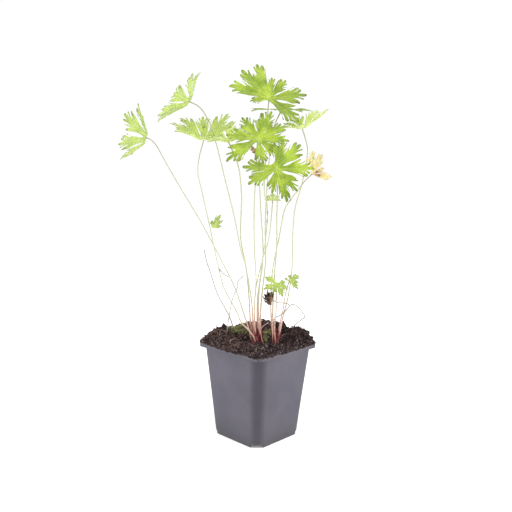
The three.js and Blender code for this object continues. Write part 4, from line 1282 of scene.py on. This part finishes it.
def blade_piece(name, materials):
    """A blade cut from one flat sheet, marked, dished, folded and thickened."""
    blade = BLADES[name]
    outline, tips = blade_outline(blade.lobes, blade.seed, name in YOUNG_BLADES)
    bm = scored_sheet(softened(outline), blade.lobes)
    lobe_map = bm.loops.layers.uv.new("lobe")
    for face in bm.faces:
        centre = face.calc_center_median()
        lobe = nearest_lobe(blade.lobes, centre.x, centre.y)
        for corner in face.loops:
            corner[lobe_map].uv = place_in_lobe(lobe, corner.vert.co.x, corner.vert.co.y)

    tip_tree = kdtree.KDTree(len(tips))
    for index, tip in enumerate(tips):
        tip_tree.insert(tip.to_3d(), index)
    tip_tree.balance()
    specks = [Vector((*around(math.radians(turn), out), 0)) for turn, out in SPECKS.get(name, ())]
    shade_way, shade_depth = SHADED_SIDES.get(name, (0, 0))

    # painted sun and shade: the blade's paleness, less the painted shade on its shaded side
    def tint(vert):
        x, y = vert.co.x, vert.co.y
        side = math.cos(math.atan2(y, x) - math.radians(shade_way)) * min(1, math.hypot(x, y) / 10)
        return PALENESS.get(name, 0.0) - shade_depth * max(0, side)

    note(bm, "tooth_tip", lambda v: max(0, 1 - tip_tree.find(v.co)[2] / 3.2))
    note(bm, "speck", lambda v: max([1.15 - (v.co - speck).length / 1.5 for speck in specks] + [0.0]))
    if name != "yellow":
        note(bm, "tint", tint)

    normal = Vector(blade.faces).normalized()
    ahead = (Vector(blade.ahead) - normal * normal.dot(Vector(blade.ahead))).normalized()
    aside = normal.cross(ahead)
    fold, crumple = FOLDS.get(name, FOLD), CRUMPLES.get(name, 0.0)
    for vert in bm.verts:
        x, y = vert.co.x, vert.co.y
        flat = dished(blade, x, y)
        up = flat.z + vein_relief(blade, x, y, fold)
        up += crumple * noise.noise(Vector((x / 2.5, y / 2.5, blade.seed)))
        vert.co = Vector(blade.middle) + ahead * flat.x + aside * flat.y + normal * up
    if name == "yellow":
        note(bm, "tint", lambda v: max(0, 1.15 - (v.co - BROWNED_SPOT).length / BROWNED_REACH))
    bm.normal_update()
    if sum(face.normal.dot(normal) for face in bm.faces) < 0:
        bmesh.ops.reverse_faces(bm, faces=bm.faces)
    piece = piece_from(bm, "leaf_" + name, materials, ["blade_" + name])
    thickness = piece.modifiers.new("blade_thickness", "SOLIDIFY")
    thickness.thickness = BLADE_THICKNESS * MM
    thickness.offset = 0
    thickness.material_offset = 1


def make_vein_group():
    """A shader group with a lobe's pattern: its veins, and as relief those with the net between them."""
    tree = bpy.data.node_groups.new("blade_veins", "ShaderNodeTree")
    tree.interface.new_socket("Lobe Map", in_out="INPUT", socket_type="NodeSocketVector")
    tree.interface.new_socket("Veins", in_out="OUTPUT", socket_type="NodeSocketFloat")
    tree.interface.new_socket("Relief", in_out="OUTPUT", socket_type="NodeSocketFloat")
    lobe_map = tree.nodes.new("NodeGroupInput").outputs[0]
    group_out = tree.nodes.new("NodeGroupOutput")
    along = axis_of(tree, lobe_map, "X")
    across = maths(tree, "ABSOLUTE", axis_of(tree, lobe_map, "Y"))
    rib_share = maths(tree, "DIVIDE", across, ranged(tree, along, 0.0, 1.0, 0.024, 0.007))
    slant = maths(tree, "SUBTRACT", along, times(tree, across, VEIN_SLANT))
    beat = maths(tree, "PINGPONG", slant, VEIN_SPACING)
    side_reach = ranged(tree, across, 0.0, 0.24, 0.85, 0.25)
    side_vein = times(tree, ranged(tree, beat, 0.005, 0.017, 1.0, 0.0), side_reach)
    side_vein = times(tree, side_vein, ranged(tree, slant, 0.2, 0.26))
    veins = maths(tree, "MAXIMUM", ranged(tree, rib_share, 0.25, 1.0, 1.0, 0.0), side_vein)
    net = add_node(tree, "TexVoronoi", {"Vector": lobe_map, "Scale": 26.0}, feature="DISTANCE_TO_EDGE")
    net_lines = ranged(tree, net.outputs["Distance"], 0.0, 0.09, 1.0, 0.0)
    tree.links.new(veins, group_out.inputs["Veins"])
    tree.links.new(maths(tree, "MAXIMUM", times(tree, net_lines, 0.3), veins), group_out.inputs["Relief"])
    return tree


vein_group = make_vein_group()


def leaf_skin(name, shades, relief, see_through, roughness, spots=0.0, spot_colour=None):
    """Leaf: two greens in clouds, paler veins, darker tips to the teeth, and light through the blade."""
    deep, bright, sunlit, vein, tip = shades
    material, tree = new_material(name)
    place = place_on(tree)
    lobe_map = add_node(tree, "UVMap", uv_map="lobe").outputs[0]
    pattern = add_node(tree, "Group", {"Lobe Map": lobe_map}, node_tree=vein_group)
    tint = named_value(tree, "tint")
    tip_depth = ranged(tree, tint, 0.2, 1.0, 0.8, 0.4)
    shown = layered(
        tree, deep,
        (patches(tree, place, 70, 0.34, 0.66), bright),
        (times(tree, tint, 0.9), sunlit),
        # painted shade: below zero, the tint turns the blade a shaded green
        (ranged(tree, tint, 0.0, -0.8), (124, 148, 70)),
        (patches(tree, place, 900, 0.4, 0.75, 0.22, 3, 0.6), deep),
        (times(tree, pattern.outputs["Veins"], 0.42), vein),
        (times(tree, named_value(tree, "tooth_tip"), tip_depth), tip),
        (times(tree, named_value(tree, "speck"), 0.9), (52, 44, 26)),
    )
    if spots:
        cells = add_node(tree, "TexVoronoi", {"Vector": place, "Scale": 95.0})
        chosen = ranged(tree, axis_of(tree, cells.outputs["Color"], "X"), 1 - spots, 1 - spots + 0.01)
        dot = ranged(tree, cells.outputs["Distance"], 0.06, 0.15, 0.9, 0.0)
        shown = layered(tree, shown, (times(tree, chosen, dot), spot_colour))
    add_surface(tree, shown, roughness, {
        "Specular IOR Level": 0.4, "Sheen Weight": 0.12,
        "Normal": raised_by(tree, pattern.outputs["Relief"], relief),
    }, see_through)
    return material


# Each skin: its deep, its bright and its sunlit green, or what stands for them, its veins and its tooth tips;
# then the depth of its relief in metres, how much light comes through, its roughness, and for some the share
# of their cells that have a spot, with its colour.
LEAF_SKINS = {
    "leaf_upper": (
        [(132, 160, 42), (180, 203, 62), (218, 229, 148), (206, 219, 130), (88, 104, 58)],
        -0.00022, 0.42, 0.5, 0.07, (66, 60, 28)),
    "leaf_under": (
        [(154, 178, 88), (188, 206, 112), (216, 227, 154), (220, 228, 168), (104, 118, 76)],
        0.00016, 0.42, 0.6),
    "young_leaf_upper": (
        [(150, 178, 66), (192, 212, 92), (206, 220, 140), (214, 226, 150), (120, 136, 76)],
        -0.00015, 0.45, 0.5),
    "young_leaf_under": (
        [(172, 194, 106), (200, 216, 132), (212, 224, 160), (222, 232, 176), (130, 144, 92)],
        0.0002, 0.45, 0.6),
    "yellow_leaf_upper": (
        [(226, 214, 158), (240, 238, 184), (186, 130, 84), (240, 232, 192), (222, 196, 140)],
        -0.0002, 0.4, 0.6, 0.1, (84, 62, 30)),
    "yellow_leaf_under": (
        [(228, 216, 164), (240, 238, 190), (192, 140, 96), (240, 232, 196), (222, 198, 150)],
        0.0002, 0.4, 0.7),
    "withered_leaf": (
        [(62, 40, 34), (134, 100, 82), (140, 104, 88), (150, 118, 98), (40, 26, 24)],
        0.0003, 0.08, 0.8),
    "shrivelled_leaf": (
        [(186, 160, 96), (206, 182, 120), (200, 150, 110), (214, 190, 140), (150, 96, 72)],
        0.0003, 0.2, 0.8),
}
skins = {name: leaf_skin(name, *look) for name, look in LEAF_SKINS.items()}
# The skins of a blade's upper and under side, and its slot.
GROWN = ("leaf_upper", "leaf_under", "blade")
YOUNG = ("young_leaf_upper", "young_leaf_under", "young_blade")
FADED = {
    "yellow": ("yellow_leaf_upper", "yellow_leaf_under", "yellow_blade"),
    "withered": ("withered_leaf", "withered_leaf", "withered_blade"),
    "shrivelled": ("shrivelled_leaf", "shrivelled_leaf", "withered_blade"),
}
for name in BLADES:
    upper, under, slot = FADED.get(name, YOUNG if name in YOUNG_BLADES else GROWN)
    blade_piece(name, [skins[upper], skins[under]])
